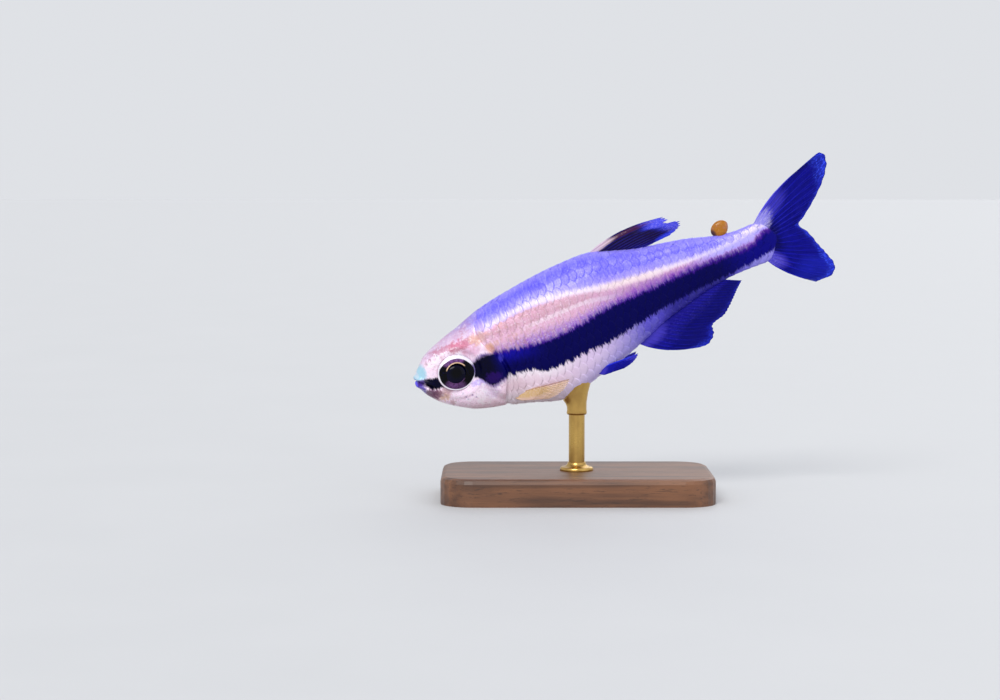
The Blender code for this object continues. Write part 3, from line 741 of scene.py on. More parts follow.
def flank_colour(finish, colours, look, lines):
    """The rosy zone between the band and the white line, purple towards the tail."""
    along, up, fine, comb = look.along, look.up, look.fine, look.comb
    rise = (up - lines.top) / (lines.white - lines.top)
    freckle = finish.step(look.mottle, 0.52, 0.36) * finish.step(along, 0.52, 0.34)
    golden = finish.step(look.grain, 0.50, 0.72) * finish.step(along, 0.38, 0.24)
    seam = finish.step(((up - lines.seam + (fine - 0.5) * 0.012) / 0.006) ** 2, 1.6, 0.1)
    seam = seam * finish.between(along, 0.30, 0.38, 0.56, 0.64)
    front = finish.layers(
        colours.flank_low,
        (finish.step(along, 0.34, 0.24) * 0.45, colours.flank_pink),
        (finish.step(rise, 0.10, 0.42), colours.flank_pink),
        (finish.step(rise, 0.40, 0.68), colours.flank),
        (finish.step(comb, 0.52, 0.34) * 0.36, colours.brown),
        (finish.step(fine, 0.50, 0.70) * 0.40, colours.tooth),
        (freckle * 0.46, colours.brown),
        (golden * 0.45, colours.gold),
        (seam * comb * 0.75, colours.tooth),
    )
    rear = finish.layers(
        colours.purple,
        (finish.step(rise, 0.16, 1.05), colours.flank_pink),
        (finish.step(fine, 0.50, 0.72) * 0.20, colours.white_line),
        (finish.step(along, 0.77, 0.91) * finish.step(rise, 0.16, 0.60), colours.ridge),
    )
    return finish.mix(finish.step(along + look.wander * 3, 0.45, 0.72), front, rear)


def back_colour(finish, colours, look, lines):
    """Violet blue, paler along the ridge."""
    return finish.layers(
        colours.back,
        (finish.step(look.up - lines.ridge, -0.020, -0.002) * 0.4, colours.ridge),
        (finish.step(look.comb, 0.44, 0.70) * 0.25, colours.ridge),
        (finish.step(look.fine, 0.52, 0.74) * 0.16, colours.white_line),
        (finish.step(look.along, 0.86, 0.97) * 0.14, colours.ridge),
    )


def body_colours(finish, colours, look, lines):
    """Colours from the gill covers to the tail: belly, band, flank, white line and back."""
    along, up, soft = look.along, look.up, look.soft
    top, low, white = lines.top, lines.low, lines.white
    wide = finish.between(along, 0.52, 0.60, 0.68, 0.78)
    # The pale line over the flank: partly the fish's own pale stripe, partly painted highlight where the
    # scales catch the light from above.
    bright = finish.layers(
        colours.white_line,
        (finish.step(along, 0.46, 0.36) * 0.75, colours.ridge),
        (finish.step(along, 0.78, 0.90) * 0.78, colours.ridge),
        (finish.step(along + look.wander * 2, 0.955, 1.0) * 0.50, colours.white_line),
        (finish.step(look.comb, 0.44, 0.62) * 0.40, colours.tooth),
        (wide * 0.30, colours.cream),
    )
    hem_top = 0.013 - finish.step(along, 0.55, 0.72) * 0.005 + soft * 0.005
    foot = finish.step(along, 0.52, 0.68) * 0.005 - wide * 0.009
    fade = 0.036 - finish.step(along, 0.78, 0.92) * 0.020
    above = finish.step(up, white - 0.004, white + 0.012) * 0.72
    above = above + finish.step(up, white + 0.004, white + fade) * 0.28
    return finish.layers(
        belly_colour(finish, colours, look, lines),
        (finish.step(up, low - 0.0055, low + 0.0040), look.band),
        (finish.step(up, top - soft * 0.004 - 0.005, top + 0.003), colours.hem),
        (finish.step(up, top + 0.001, top + hem_top), flank_colour(finish, colours, look, lines)),
        (finish.step(up, white - 0.016 + foot, white - 0.004 + foot * 0.4), bright),
        (above, back_colour(finish, colours, look, lines)),
    )


def head_colours(finish, colours, look, lines):
    """Colours of the head: pinkish white with rosy and gold patches, and the band through the eye."""
    along, up = look.along, look.up
    top, low = lines.head_top, lines.head_low
    solid = finish.object_place()
    cloud = finish.noise(solid, 1500.0)
    grit = finish.noise(solid, 6200.0, 3.0, 0.7)
    spots = finish.noise(solid, 3000.0, 4.0, 0.6)
    head = finish.layers(
        colours.cheek,
        (finish.step(up, 0.028, 0.066), colours.brow),
        (finish.step(up + (cloud - 0.5) * 0.05, 0.076, 0.104), colours.crown),
        (finish.step(cloud, 0.4, 0.75) * 0.40, colours.tooth),
        (finish.step(grit, 0.52, 0.70) * 0.16, colours.purple),
        (finish.step(up, -0.10, -0.13) * 0.6, colours.belly),
    )
    drift = finish.noise(look.flat, 26.0, 3.0)
    stray = look.wander + (look.fine - 0.5) * 0.014
    x, y = along + (drift - 0.5) * 0.036 + stray, up + (look.mottle - 0.5) * 0.030 + stray
    head = finish.patches(head, x, y, (
        (0.120, 0.031, 0.060, 0.018, colours.tooth, 0.50),
        (0.060, 0.015, 0.028, 0.024, colours.tooth, 0.25),
        (0.176, 0.028, 0.028, 0.018, colours.flank_pink, 0.80),
        (0.150, 0.051, 0.032, 0.015, colours.red, 0.80),
        (0.104, 0.056, 0.034, 0.009, colours.red, 0.50),
        # Painted highlight: a whitish streak along the forehead's profile.
        (0.085, 0.047, 0.020, 0.005, colours.tooth, 0.60),
        (0.205, 0.052, 0.030, 0.018, colours.gold, 0.70),
        (0.056, -0.054, 0.032, 0.018, colours.brown, 0.75),
        (0.060, -0.067, 0.016, 0.009, colours.cream, 0.50),
        (0.078, -0.087, 0.012, 0.009, colours.brown, 0.55),
        (0.033, -0.044, 0.027, 0.019, colours.maroon, 0.90),
        (0.168, -0.060, 0.024, 0.011, colours.back, 0.42),
        (0.168, -0.100, 0.034, 0.022, colours.tooth, 0.45),
        (0.188, -0.090, 0.026, 0.026, colours.flank_low, 0.25),
    ))
    high, cheek = finish.step(up, -0.01, 0.04), finish.step(up, -0.04, -0.07)
    head = finish.layers(
        head,
        (finish.step(spots, 0.50, 0.66) * high * 0.40, colours.red),
        # Painted highlights: white flecks, mostly on the upper head.
        (finish.step(spots, 0.47, 0.33) * (high * 0.45 + 0.05), colours.tooth),
        (finish.step(grit, 0.50, 0.66) * cheek * 0.26, colours.brown),
        (finish.step(cloud, 0.50, 0.66) * cheek * 0.22, colours.flank_pink),
        (finish.step(spots, 0.48, 0.36) * cheek * 0.60, colours.tooth),
    )
    head = finish.patches(head, along + stray * 0.5, up + stray * 0.5, (
        (0.026, 0.021, 0.015, 0.023, colours.lip, 0.90),
        (0.007, 0.013, 0.015, 0.012, colours.lip, 0.92),
        # Painted highlight: a whitish spot on the upper lip.
        (0.013, 0.018, 0.006, 0.009, colours.tooth, 0.35),
        (0.008, -0.020, 0.016, 0.020, colours.jaw, 0.90),
        (0.016, -0.004, 0.018, 0.008, colours.hem, 0.90),
        # Painted highlight: a lilac rim at the very tip of the lips.
        (0.001, -0.002, 0.007, 0.013, colours.back, 0.75),
        (0.048, 0.036, 0.005, 0.004, colours.brown, 0.28),
        (0.060, 0.043, 0.005, 0.004, colours.brown, 0.28),
        (0.084, 0.048, 0.003, 0.003, colours.fin_smoke, 0.40),
        (0.116, -0.085, 0.003, 0.003, colours.hem, 0.45),
        (0.118, -0.093, 0.003, 0.003, colours.hem, 0.35),
        (0.134, -0.086, 0.003, 0.003, colours.hem, 0.45),
        (0.141, -0.096, 0.003, 0.003, colours.hem, 0.40),
        (0.111, -0.073, 0.003, 0.003, colours.hem, 0.25),
    ))
    spot = finish.between(up, low - 0.014, low - 0.002, top + 0.002, top + 0.012)
    spot = spot * finish.step(along, 0.150, 0.185) * (look.grain + 0.2)
    band = finish.between(up, low - 0.005, low + 0.003, top - 0.003, top + 0.005)
    band = band * finish.step(along + look.wander, 0.016, 0.032)
    return finish.layers(head, (spot, colours.hem), (band, look.band))


def skin_finish(colours):
    """Wet skin of the head and of what shows between the scales."""
    finish = Finish("tetra_skin", Subsurface_Weight=0.08, Coat_Roughness=0.08, Coat_IOR=1.36,
                    Specular_IOR_Level=0.05)
    finish.shader.inputs["Subsurface Radius"].default_value = (0.0006, 0.0003, 0.0004)
    look = markings(finish, colours, finish.attribute("place"), 0.006)
    dots = finish.node("ShaderNodeTexVoronoi", {}, {"Vector": finish.object_place(), "Scale": 8600.0})
    pigment = finish.step(dots, 0.22, 0.10) * finish.step(look.edge, GILL_EDGE, GILL_EDGE - 0.01)
    colour = finish.mix(pigment * 0.30 * (1 - look.dark), look.colour, colours.brown)
    normal = finish.bump(look.fine * 0.6 + look.grain * 0.4, 0.00006, 0.6)
    normal = finish.bump(dots, 0.00003, 0.35, normal)
    finish.set(Base_Color=colour, Metallic=look.shine, Roughness=0.26 + look.grain * 0.22, Normal=normal,
               Coat_Weight=(0.45 + look.grain * 0.3) * (1 - look.dark * 0.85))
    return finish.material


def scale_finish(colours):
    """Thin bright scales, each with growth rings, a pale edge and a tone of its own."""
    finish = Finish("tetra_scales", Coat_Roughness=0.12, Coat_IOR=1.36, Specular_IOR_Level=0.05)
    look = markings(finish, colours, finish.attribute("place"), 0.004)
    _, back = finish.uv("scale")
    tone = finish.factor("tone")
    rings = finish.sine(back * 70.0)
    edge = finish.step(back, 0.80, 0.97)
    pale = finish.step(look.dark, 1.0, 0.0)
    streak = finish.noise(finish.object_place(), 5200.0, 3.0, 0.7)
    colour = finish.layers(
        look.colour,
        (tone * 0.05 * pale, WHITE),
        (edge * 0.08 * pale, colours.tooth),
        (finish.step(streak, 0.48, 0.72) * 0.08 * pale, WHITE),
    )
    normal = finish.bump(rings * 0.5 + streak, 0.000008, 0.7)
    finish.set(Base_Color=colour, Metallic=(look.shine + tone * 0.06) * pale, Normal=normal,
               Roughness=0.31 + streak * 0.16, Coat_Weight=(0.25 + tone * 0.25) * (1 - look.dark * 0.85))
    return finish.material


def eye_finish(colours):
    """Iris and rim, read from the eye's own plan: x, y and the distance from its middle."""
    finish = Finish("tetra_eye", Coat_Roughness=0.04, Coat_IOR=1.17, Coat_Weight=0.9,
                    Specular_IOR_Level=0.03)
    x, y, away = finish.parts(finish.attribute("place"))
    spoke_place = finish.node("ShaderNodeCombineXYZ", {}, (x / away, y / away, away * 1.2))
    spokes = finish.noise(spoke_place, 6.0, 5.0, 0.7)
    rising = (y * 0.99 + x * 0.12) / away
    falling = (y * -0.91 - x * 0.42) / away
    # The white rim is the eye's own. It widens into a crescent at the top, and that wider crescent is
    # painted highlight from the light above.
    inner = 0.93 - finish.step(y * 0.93 + x * 0.37, 0.08, 0.80) * 0.155 + (spokes - 0.5) * 0.07
    shown = finish.step(rising, 0.62, 0.82) + finish.step(falling, 0.66, 0.92) * 0.60
    shown = shown * (finish.step(spokes, 0.38, 0.66) * 0.65 + 0.35) * finish.step(away, 0.50, 0.64)
    iris = finish.layers(
        colours.pupil,
        (shown * 0.9, colours.iris),
        (finish.step(spokes, 0.56, 0.76) * 0.30, colours.band_blue),
    )
    rim = finish.layers(
        colours.eye_ring,
        (finish.step(spokes, 0.50, 0.80) * 0.25, colours.iris),
        (finish.step((x * 0.97 - y * 0.22) / away, 0.90, 0.985) * 0.85, colours.hem),
        (finish.step(away, 0.975, 1.0) * 0.65, colours.flank),
    )
    # Painted glint: a thin cream gold arc on the iris over the pupil's upper edge, and a faint purple
    # arc under the pupil.
    arc = finish.between(away, 0.500, 0.525, 0.555, 0.585)
    colour = finish.layers(
        iris,
        (finish.step(away, inner - 0.035, inner + 0.02), rim),
        (arc * finish.step(rising, 0.34, 0.60) * (spokes + 0.3), colours.cream),
        (arc * finish.step(falling, 0.45, 0.80) * 0.40, colours.iris),
    )
    finish.set(Base_Color=colour, Metallic=finish.step(away, inner - 0.05, inner) * 0.3,
               Roughness=0.20 + spokes * 0.16, Normal=finish.bump(spokes, 0.00003, 0.6))
    return finish.material


def pupil_finish(colours):
    """Clear black lens, a little bluer off its middle."""
    finish = Finish("tetra_pupil", Coat_Roughness=0.03, Coat_IOR=1.19, Coat_Weight=1.0,
                    Specular_IOR_Level=0.02)
    x, y, away = finish.parts(finish.attribute("place"))
    depth = finish.step(away, 0.15, 0.55)
    colour = finish.mix(depth * 0.20 + (x + y) * 0.03, colours.pupil, colours.band)
    finish.set(Base_Color=colour, Roughness=0.08 + depth * 0.08)
    return finish.material


def fin_finish(name, parts):
    """Clear membrane between rays. parts holds colours, patches and sparks on the fin's plan."""
    finish = Finish(name, Coat_Roughness=0.18, Coat_IOR=1.33, Coat_Weight=0.12, Specular_IOR_Level=0.05)
    across, out = finish.uv("rays")
    ray = finish.factor("ray")
    plan = finish.node("ShaderNodeUVMap", {"uv_map": "rays"})
    clouds = finish.noise(finish.stretched(plan, (9.0, 2.0, 1.0)), 2.2, 4.0, 0.6)
    threads = finish.noise(finish.stretched(plan, (160.0, 4.0, 1.0)), 1.0, 3.0, 0.6)
    specks = finish.noise(finish.stretched(plan, (70.0, 26.0, 1.0)), 1.0, 3.0, 0.7)
    joints = finish.sine(out * 150.0)
    lit = finish.step(specks, 0.47, 0.68)
    rim = finish.step(out + (clouds - 0.5) * 0.30 + (threads - 0.5) * 0.12, 0.88, 1.0)
    colour = finish.layers(
        parts["base"],
        (finish.step(clouds, 0.35, 0.75) * 0.5, parts["deep"]),
        (rim * (lit * 0.6 + 0.3) * parts["tip_strength"], parts["tip"]),
        (ray * (0.45 + (threads - 0.5) * 0.6), parts["ray"]),
        (finish.step(threads, 0.55, 0.72) * 0.35, parts["ray"]),
    )
    streaked = across + (threads - 0.5) * 0.03, out + (threads - 0.5) * 0.20 + (clouds - 0.5) * 0.10
    colour = finish.patches(colour, *streaked, parts["patches"])
    colour = finish.mix(lit * 0.8 + 0.1, colour, finish.patches(colour, *streaked, parts["sparks"]))
    opacity = parts["opacity"]
    alpha = ray * (1 - opacity) + opacity - finish.step(out, 0.80, 1.0) * 0.04 + (clouds - 0.5) * 0.06
    finish.set(Base_Color=colour, Alpha=finish.node("ShaderNodeClamp", {}, (alpha,)),
               Roughness=0.34 + threads * 0.25,
               Normal=finish.bump(threads + joints * ray * 0.15, 0.00003, 0.6))
    return finish.material


def adipose_finish(colours):
    """Fleshy orange lobe with a dark root in front."""
    finish = Finish("tetra_adipose", Subsurface_Weight=0.15, Coat_Roughness=0.12, Coat_IOR=1.36,
                    Specular_IOR_Level=0.08)
    finish.shader.inputs["Subsurface Radius"].default_value = (0.0005, 0.0002, 0.0001)
    place = finish.attribute("place")
    along, up, _ = finish.parts(place)
    mottle = finish.noise(place, 90.0, 5.0, 0.65)
    colour = finish.layers(
        colours.adipose,
        (finish.step(mottle, 0.46, 0.76) * 0.30, colours.gold),
        (finish.step(mottle, 0.48, 0.30) * 0.35, colours.brown),
    )
    colour = finish.patches(colour, along, up, (
        (0.893, 0.066, 0.012, 0.014, colours.fin_smoke, 0.85),
        (0.944, 0.072, 0.008, 0.014, colours.brown, 0.45),
    ))
    finish.set(Base_Color=colour, Roughness=0.30 + mottle * 0.25, Coat_Weight=0.3 + mottle * 0.3,
               Normal=finish.bump(mottle, 0.00006, 0.6))
    return finish.material


def wood_finish(colours):
    """Dark satin wood whose grain runs along the base."""
    finish = Finish("stand_walnut", Coat_Roughness=0.45, Coat_Weight=0.25)
    bend = finish.noise(finish.object_place((120.0, 420.0, 420.0)), 1.0, 2.0)
    rings = finish.noise(finish.object_place((60.0, 1500.0, 1500.0)), 1.0, 4.0, 0.6)
    pores = finish.noise(finish.object_place((900.0, 9000.0, 9000.0)), 1.0, 3.0, 0.7)
    figure = finish.step(rings * 0.7 + bend * 0.5, 0.42, 0.78)
    colour = finish.layers(
        colours.wood,
        (figure, colours.wood_light),
        (finish.step(pores, 0.56, 0.68) * 0.6, colours.wood_pore),
    )
    finish.set(Base_Color=colour, Roughness=0.38 + pores * 0.2,
               Normal=finish.bump(pores + figure * 0.3, 0.00002, 0.5))
    return finish.material


def brass_finish(colours):
    """Brass with the fine marks of the cloth that polished it."""
    finish = Finish("stand_brass", Metallic=1.0)
    marks = finish.noise(finish.object_place((2500.0, 2500.0, 14000.0)), 1.0, 4.0, 0.6)
    dull = finish.noise(finish.object_place((500.0, 500.0, 300.0)), 1.0, 4.0)
    colour = finish.mix(finish.step(dull, 0.45, 0.80) * 0.45, colours.metal, colours.wood_light)
    finish.set(Base_Color=colour, Roughness=0.16 + marks * 0.14 + dull * 0.12,
               Normal=finish.bump(marks, 0.000006, 0.5))
    return finish.material


def floor_finish(colours):
    """Plain pale floor with a faint uneven tone."""
    finish = Finish("stage_floor")
    mottle = finish.noise(finish.object_place(), 60.0, 6.0, 0.6)
    colour = finish.mix(mottle * 0.10, colours.floor, WHITE)
    finish.set(Base_Color=colour, Roughness=0.55 + mottle * 0.2,
               Normal=finish.bump(mottle, 0.0001, 0.15))
    return finish.material


def eye_socket():
    """The middle of the left eye's rim, in the fish's own frame, in metres."""
    return Vector((EYE_ALONG, -EYE_RIM_OUT, EYE_UP)) * STANDARD_LENGTH


def fish_place():
    """The turn and move from the fish's own frame to the stand, found from the left eye."""
    low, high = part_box("eye_left")
    turn = Matrix.Rotation(-NOSE_DOWN, 4, "Y")
    centre = Vector((EYE_ALONG * STANDARD_LENGTH, -EYE_OUT, EYE_UP * STANDARD_LENGTH))
    middle = (Vector(low) + Vector(high)) / 2
    return Matrix.Translation(middle - turn @ centre) @ turn


FISH = fish_place()


def add_piece(name, mesh, material, slot, nodes=(), place=FISH):
    """Makes an object of a bmesh, set in its place, that rides on the model."""
    mesh.transform(place)
    data = bpy.data.meshes.new(name)
    mesh.to_mesh(data)
    mesh.free()
    data.shade_smooth()
    data.materials.append(material)
    piece = bpy.data.objects.new(name, data)
    bpy.context.scene.collection.objects.link(piece)
    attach(piece, "root")
    if nodes:
        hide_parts(*nodes)
    return piece


def grid(mesh, columns, rows):
    """Adds a grid and gives its points by column and row."""
    made = bmesh.ops.create_grid(mesh, x_segments=columns, y_segments=rows, size=1.0)["verts"]
    return {
        (round((v.co.x + 1) / 2 * columns), round((v.co.y + 1) / 2 * rows)): v for v in made
    }


def write_uv(mesh, name, places):
    """Fills a UV map from a table of point to place."""
    layer = mesh.loops.layers.uv.get(name) or mesh.loops.layers.uv.new(name)
    for face in mesh.faces:
        for loop in face.loops:
            if loop.vert in places:
                loop[layer].uv = places[loop.vert]


class TETRA_OT_skin(bpy.types.Operator):
    """Wrap the body in one skin, with mouth, nostrils, gill covers and eye sockets"""

    bl_idname = "tetra.skin"
    bl_label = "Skin"

    def execute(self, context):
        table = body_table()
        mesh = bmesh.new()
        place = mesh.verts.layers.float_vector.new("place")
        for (ring, turn), vert in grid(mesh, len(RING_PLACES) - 1, TURNS).items():
            vert.co = Vector(table.skin[ring, turn]) * STANDARD_LENGTH
            along, _, up = table.plain[ring, turn]
            vert[place] = (along, up, RING_PLACES[ring])
        bmesh.ops.remove_doubles(mesh, verts=mesh.verts, dist=MERGE_DISTANCE)
        open_edges = [edge for edge in mesh.edges if edge.is_boundary]
        bmesh.ops.holes_fill(mesh, edges=open_edges, sides=0)
        bmesh.ops.recalc_face_normals(mesh, faces=mesh.faces)
        nodes = ("head", "lower_jaw", "gill_cover_left", "gill_cover_right", "trunk", "caudal_peduncle")
        add_piece("skin", mesh, skin_finish(context.scene.tetra_colours), "skin", nodes)
        return {"FINISHED"}


SCALE_CELLS = 8
SCALE_START = 0.2110
SCALE_END = 1.012
ROWS_A_SIDE = 12

# A scale's length in spacings and half its depth in row heights, how round its rear edge and how
# hollow its front are, how much of its length lies before its place, how deep its front is tucked
# under the skin and how far its sides droop, and how much of the pattern's spread it keeps
SCALE_LENGTH = 1.62
SCALE_HALF_DEPTH = 0.86
SCALE_REAR = 0.94
SCALE_FRONT = 0.16
SCALE_BEFORE = 0.62
SCALE_TUCK = 0.0010
SCALE_DROOP = 0.0006
SCALE_SPREAD = 0.95

# The scales' places on the OFBake map, kept for a bake: its margin and width, and one scale's own size
# on it
BAKE_MARGIN = 0.02
BAKE_WIDTH = 0.94
BAKE_HALF_HEIGHT = 0.42
BAKE_SCALE = (0.0030, 0.0015)


def ring_at(along):
    """The place of a share in the table of rings, with its fraction."""
    return np.interp(along, RING_PLACES, range(len(RING_PLACES)))


def surface_at(table, along, turn):
    """Places and normals of the body at arrays of shares and turns."""
    rings = ring_at(along)
    steps = (turn % 2.0) / 2.0 * TURNS
    ring = np.minimum(rings.astype(int), len(RING_PLACES) - 2)
    step = np.minimum(steps.astype(int), TURNS - 1)
    across, around = (rings - ring)[..., None], (steps - step)[..., None]
    found = []
    for grid_of in (table.plain, table.normals):
        near = grid_of[ring, step] * (1 - around) + grid_of[ring, step + 1] * around
        far = grid_of[ring + 1, step] * (1 - around) + grid_of[ring + 1, step + 1] * around
        found.append(near * (1 - across) + far * across)
    return found


def scale_places(table, sizes):
    """Yields share, arc length from the side's middle line, arcs of the ring and row height."""
    spacing = sizes.scale_spacing / 2
    columns = int((SCALE_END - SCALE_START) / spacing)
    quarter = TURNS // 4
    turns = np.linspace(-0.5, 1.5, TURNS + 1)
    for column in range(columns + 1):
        along = SCALE_START + column * spacing
        ring = int(round(float(ring_at(along))))
        reach = np.roll(table.plain[ring, :-1], quarter, axis=0)
        reach = np.concatenate((reach, reach[:1]))
        steps = np.linalg.norm(np.diff(reach, axis=0), axis=1)
        arcs = np.concatenate(([0.0], np.cumsum(steps)))
        arcs = arcs - np.interp(0.5, turns, arcs)
        top, bottom = (np.interp(turn, turns, arcs) for turn in (0.0, 1.0))
        height = sizes.row_spacing * (1.06 - 0.40 * smooth_between(0.35, 0.95, along))
        first = 0.5 if column % 2 else 0.0
        for row in range(-ROWS_A_SIDE, ROWS_A_SIDE + 1):
            middle = (row + first) * 2 * height
            if top + 0.45 * height < middle < bottom - 0.45 * height:
                yield along, middle, arcs, turns, height
        if column % 2:
            yield along, top, arcs, turns, height
            yield along, bottom, arcs, turns, height


class TETRA_OT_scales(bpy.types.Operator):
    """Lay thin overlapping scales over both sides of the body"""

    bl_idname = "tetra.scales"
    bl_label = "Scales"

    def execute(self, context):
        sizes = context.scene.tetra_sizes
        table = body_table()
        material = scale_finish(context.scene.tetra_colours)
        draws = random.Random(context.scene.tetra_stage.seed)
        places = list(scale_places(table, sizes))
        for side, name in ((1, "scales_left"), (-1, "scales_right")):
            mesh = bmesh.new()
            layers = SimpleNamespace(
                place=mesh.verts.layers.float_vector.new("place"),
                tone=mesh.verts.layers.float.new("tone"),
            )
            local, baked = {}, {}
            for entry in places:
                if side < 0 and not entry[2][0] < entry[1] < entry[2][-1]:
                    continue
                self.add_scale(mesh, layers, table, sizes, side, entry, draws, local, baked)
            write_uv(mesh, "OFBake", baked)
            write_uv(mesh, "scale", local)
            piece = add_piece(name, mesh, material, "skin")
            shell = piece.modifiers.new("thickness", "SOLIDIFY")
            shell.thickness = sizes.scale_thickness
            shell.offset = -1.0
        return {"FINISHED"}

    def add_scale(self, mesh, layers, table, sizes, side, entry, draws, local, baked):
        """One scale: a fan whose front lies under the skin and whose rear edge stands free."""
        along, middle, arcs, turns, height = entry
        size = 1 + draws.uniform(-0.05, 0.05)
        tone = draws.random()
        lean = draws.uniform(-0.08, 0.08)
        rise = sizes.scale_rise / STANDARD_LENGTH * draws.uniform(0.85, 1.15)
        rise *= smooth_between(SCALE_END + 0.004, 0.955, along) * 0.9 + 0.1
        reach = sizes.scale_spacing * SCALE_LENGTH * size
        deep = height * SCALE_HALF_DEPTH * size
        verts = grid(mesh, SCALE_CELLS, SCALE_CELLS)
        keys = list(verts)
        spots = np.array(keys, dtype=float) / SCALE_CELLS
        back, across = spots[:, 0], spots[:, 1] * 2 - 1
        rear = np.sqrt(1 - (SCALE_REAR * across) ** 2)
        front = SCALE_FRONT * across**2
        out = front + (rear - front) * back
        share_along = along + (out - SCALE_BEFORE + lean * across * 0.3) * reach
        share_along = np.clip(share_along, SCALE_START - 0.0035, None)
        arc = middle + across * deep * (0.85 + 0.15 * np.sin(math.pi * (0.15 + 0.6 * back)))
        turn = np.interp(arc, arcs, turns)
        points, normals = surface_at(table, share_along, turn * side)
        lift = (rise + SCALE_TUCK) * out**1.15 - SCALE_TUCK - SCALE_DROOP * across**2
        middle_turn = float(np.interp(middle, arcs, turns))
        root = surface_at(table, np.array([along]), np.array([middle_turn * side]))[0][0]
        part = (along - SCALE_START + 0.02) / (SCALE_END - SCALE_START + 0.05)
        u = BAKE_MARGIN + BAKE_WIDTH * part
        v = 0.5 + side * (BAKE_MARGIN + BAKE_HALF_HEIGHT * (middle_turn + 0.02))
        edge = max(along, GILL_EDGE + 0.004)
        for key, point, normal, height_here, spot_out, spot_across in zip(
            keys, points, normals, lift, out, across
        ):
            vert = verts[key]
            vert.co = Vector(point + normal * height_here) * STANDARD_LENGTH
            pattern = root + SCALE_SPREAD * (point - root)
            vert[layers.place] = (pattern[0], pattern[2], edge)
            vert[layers.tone] = tone
            local[vert] = ((spot_across + 1) / 2, spot_out)
            baked[vert] = (u + BAKE_SCALE[0] * spot_out, v + BAKE_SCALE[1] * spot_across)
        faces = {face for vert in verts.values() for face in vert.link_faces}
        if side < 0:
            bmesh.ops.reverse_faces(mesh, faces=list(faces))


def turned(mesh, profile, segments):
    """Turns a profile of (distance, height) round the Z axis into a closed form."""
    verts = [mesh.verts.new((distance, 0.0, height)) for distance, height in profile]
    edges = [mesh.edges.new(pair) for pair in zip(verts, verts[1:])]
    bmesh.ops.spin(
        mesh, geom=verts + edges, cent=(0, 0, 0), axis=(0, 0, 1), angle=math.tau,
        steps=segments, use_merge=True, use_duplicate=False,
    )
    bmesh.ops.remove_doubles(mesh, verts=mesh.verts, dist=MERGE_DISTANCE)
    bmesh.ops.recalc_face_normals(mesh, faces=mesh.faces)


class TETRA_OT_eyes(bpy.types.Operator):
    """Set an iris with a white rim and a round black pupil in each socket"""

    bl_idname = "tetra.eyes"
    bl_label = "Eyes"

    def execute(self, context):
        sizes = context.scene.tetra_sizes
        iris = eye_finish(context.scene.tetra_colours)
        pupil = pupil_finish(context.scene.tetra_colours)
        for side, name in ((1, "left"), (-1, "right")):
            nodes = (f"eye_{name}",)
            self.add_part(f"iris_{name}", self.iris_profile(sizes.eye_dome), side, iris, nodes)
            self.add_part(f"pupil_{name}", self.pupil_profile(sizes.eye_dome), side, pupil)
        return {"FINISHED"}

    # Widths are in radii of the eye and heights in domes. The pupil's lens stands a little
    # aside of the iris's middle
    IRIS_WELL = (0.46, -0.30)
    IRIS_START = 0.53
    IRIS_WIDTH = 0.40
    IRIS_STEPS = 14
    IRIS_CURVE = 0.45
    IRIS_HEIGHT = 0.60
    EYE_RIM = ((0.955, 0.34), (0.980, 0.24), (1.000, 0.05), (1.005, -0.20))
    EYE_UNDERSIDE = ((1.0, -0.60), (0.6, -0.9), (0.0, -0.9))
    PUPIL_RADIUS = 0.515
    PUPIL_STEPS = 16
    PUPIL_MIDDLE = 0.42
    PUPIL_BULGE = 0.56
    PUPIL_ASIDE = (-0.07 * EYE_RADIUS, -0.08 * EYE_RADIUS, 0.0)

    def iris_profile(self, dome):
        """From the pupil's edge over the iris and the rim, and back under it."""
        rows = [self.IRIS_WELL]
        for turn in (math.pi, math.pi / 2, 0):
            rows.append((0.50 + 0.02 * math.cos(turn), 0.62 + 0.05 * math.sin(turn)))
        for i in range(self.IRIS_STEPS + 1):
            out = self.IRIS_WIDTH * i / self.IRIS_STEPS
            fall = math.sqrt(1 - (out / self.IRIS_CURVE) ** 2)
            rows.append((self.IRIS_START + out, self.IRIS_HEIGHT * fall))
        rows += self.EYE_RIM + self.EYE_UNDERSIDE
        return [(width * EYE_RADIUS, height * dome) for width, height in rows]

    def pupil_profile(self, dome):
        """A round lens that stands a little out of the iris."""
        rows = []
        for i in range(self.PUPIL_STEPS + 1):
            angle = math.pi / 2 * (1 - 1.7 * i / self.PUPIL_STEPS)
            width = self.PUPIL_RADIUS * math.cos(angle)
            height = self.PUPIL_MIDDLE + self.PUPIL_BULGE * math.sin(angle)
            rows.append((width * EYE_RADIUS, height * dome))
        rows[0] = (0.0, rows[0][1])
        return rows + [(0.0, rows[-1][1])]

    def add_part(self, name, profile, side, material, nodes=()):
        mesh = bmesh.new()
        turned(mesh, profile, 96)
        place = mesh.verts.layers.float_vector.new("place")
        if name.startswith("pupil"):
            bmesh.ops.translate(mesh, verts=mesh.verts, vec=self.PUPIL_ASIDE)
        for vert in mesh.verts:
            x, y = vert.co.x / EYE_RADIUS, vert.co.y / EYE_RADIUS
            vert[place] = (x, y, math.hypot(x, y))
        mesh.transform(Matrix.Diagonal((EYE_LONG, 1.0, 1.0, 1.0)))
        mesh.transform(Matrix.Rotation(EYE_TILT, 4, "Y"))
        mesh.transform(Matrix.Rotation(math.pi / 2, 4, "X"))
        mesh.transform(Matrix.Translation(eye_socket()))
        if side < 0:
            bmesh.ops.scale(mesh, vec=(1, -1, 1), verts=mesh.verts)
            bmesh.ops.recalc_face_normals(mesh, faces=mesh.faces)
        add_piece(name, mesh, material, "eye", nodes)


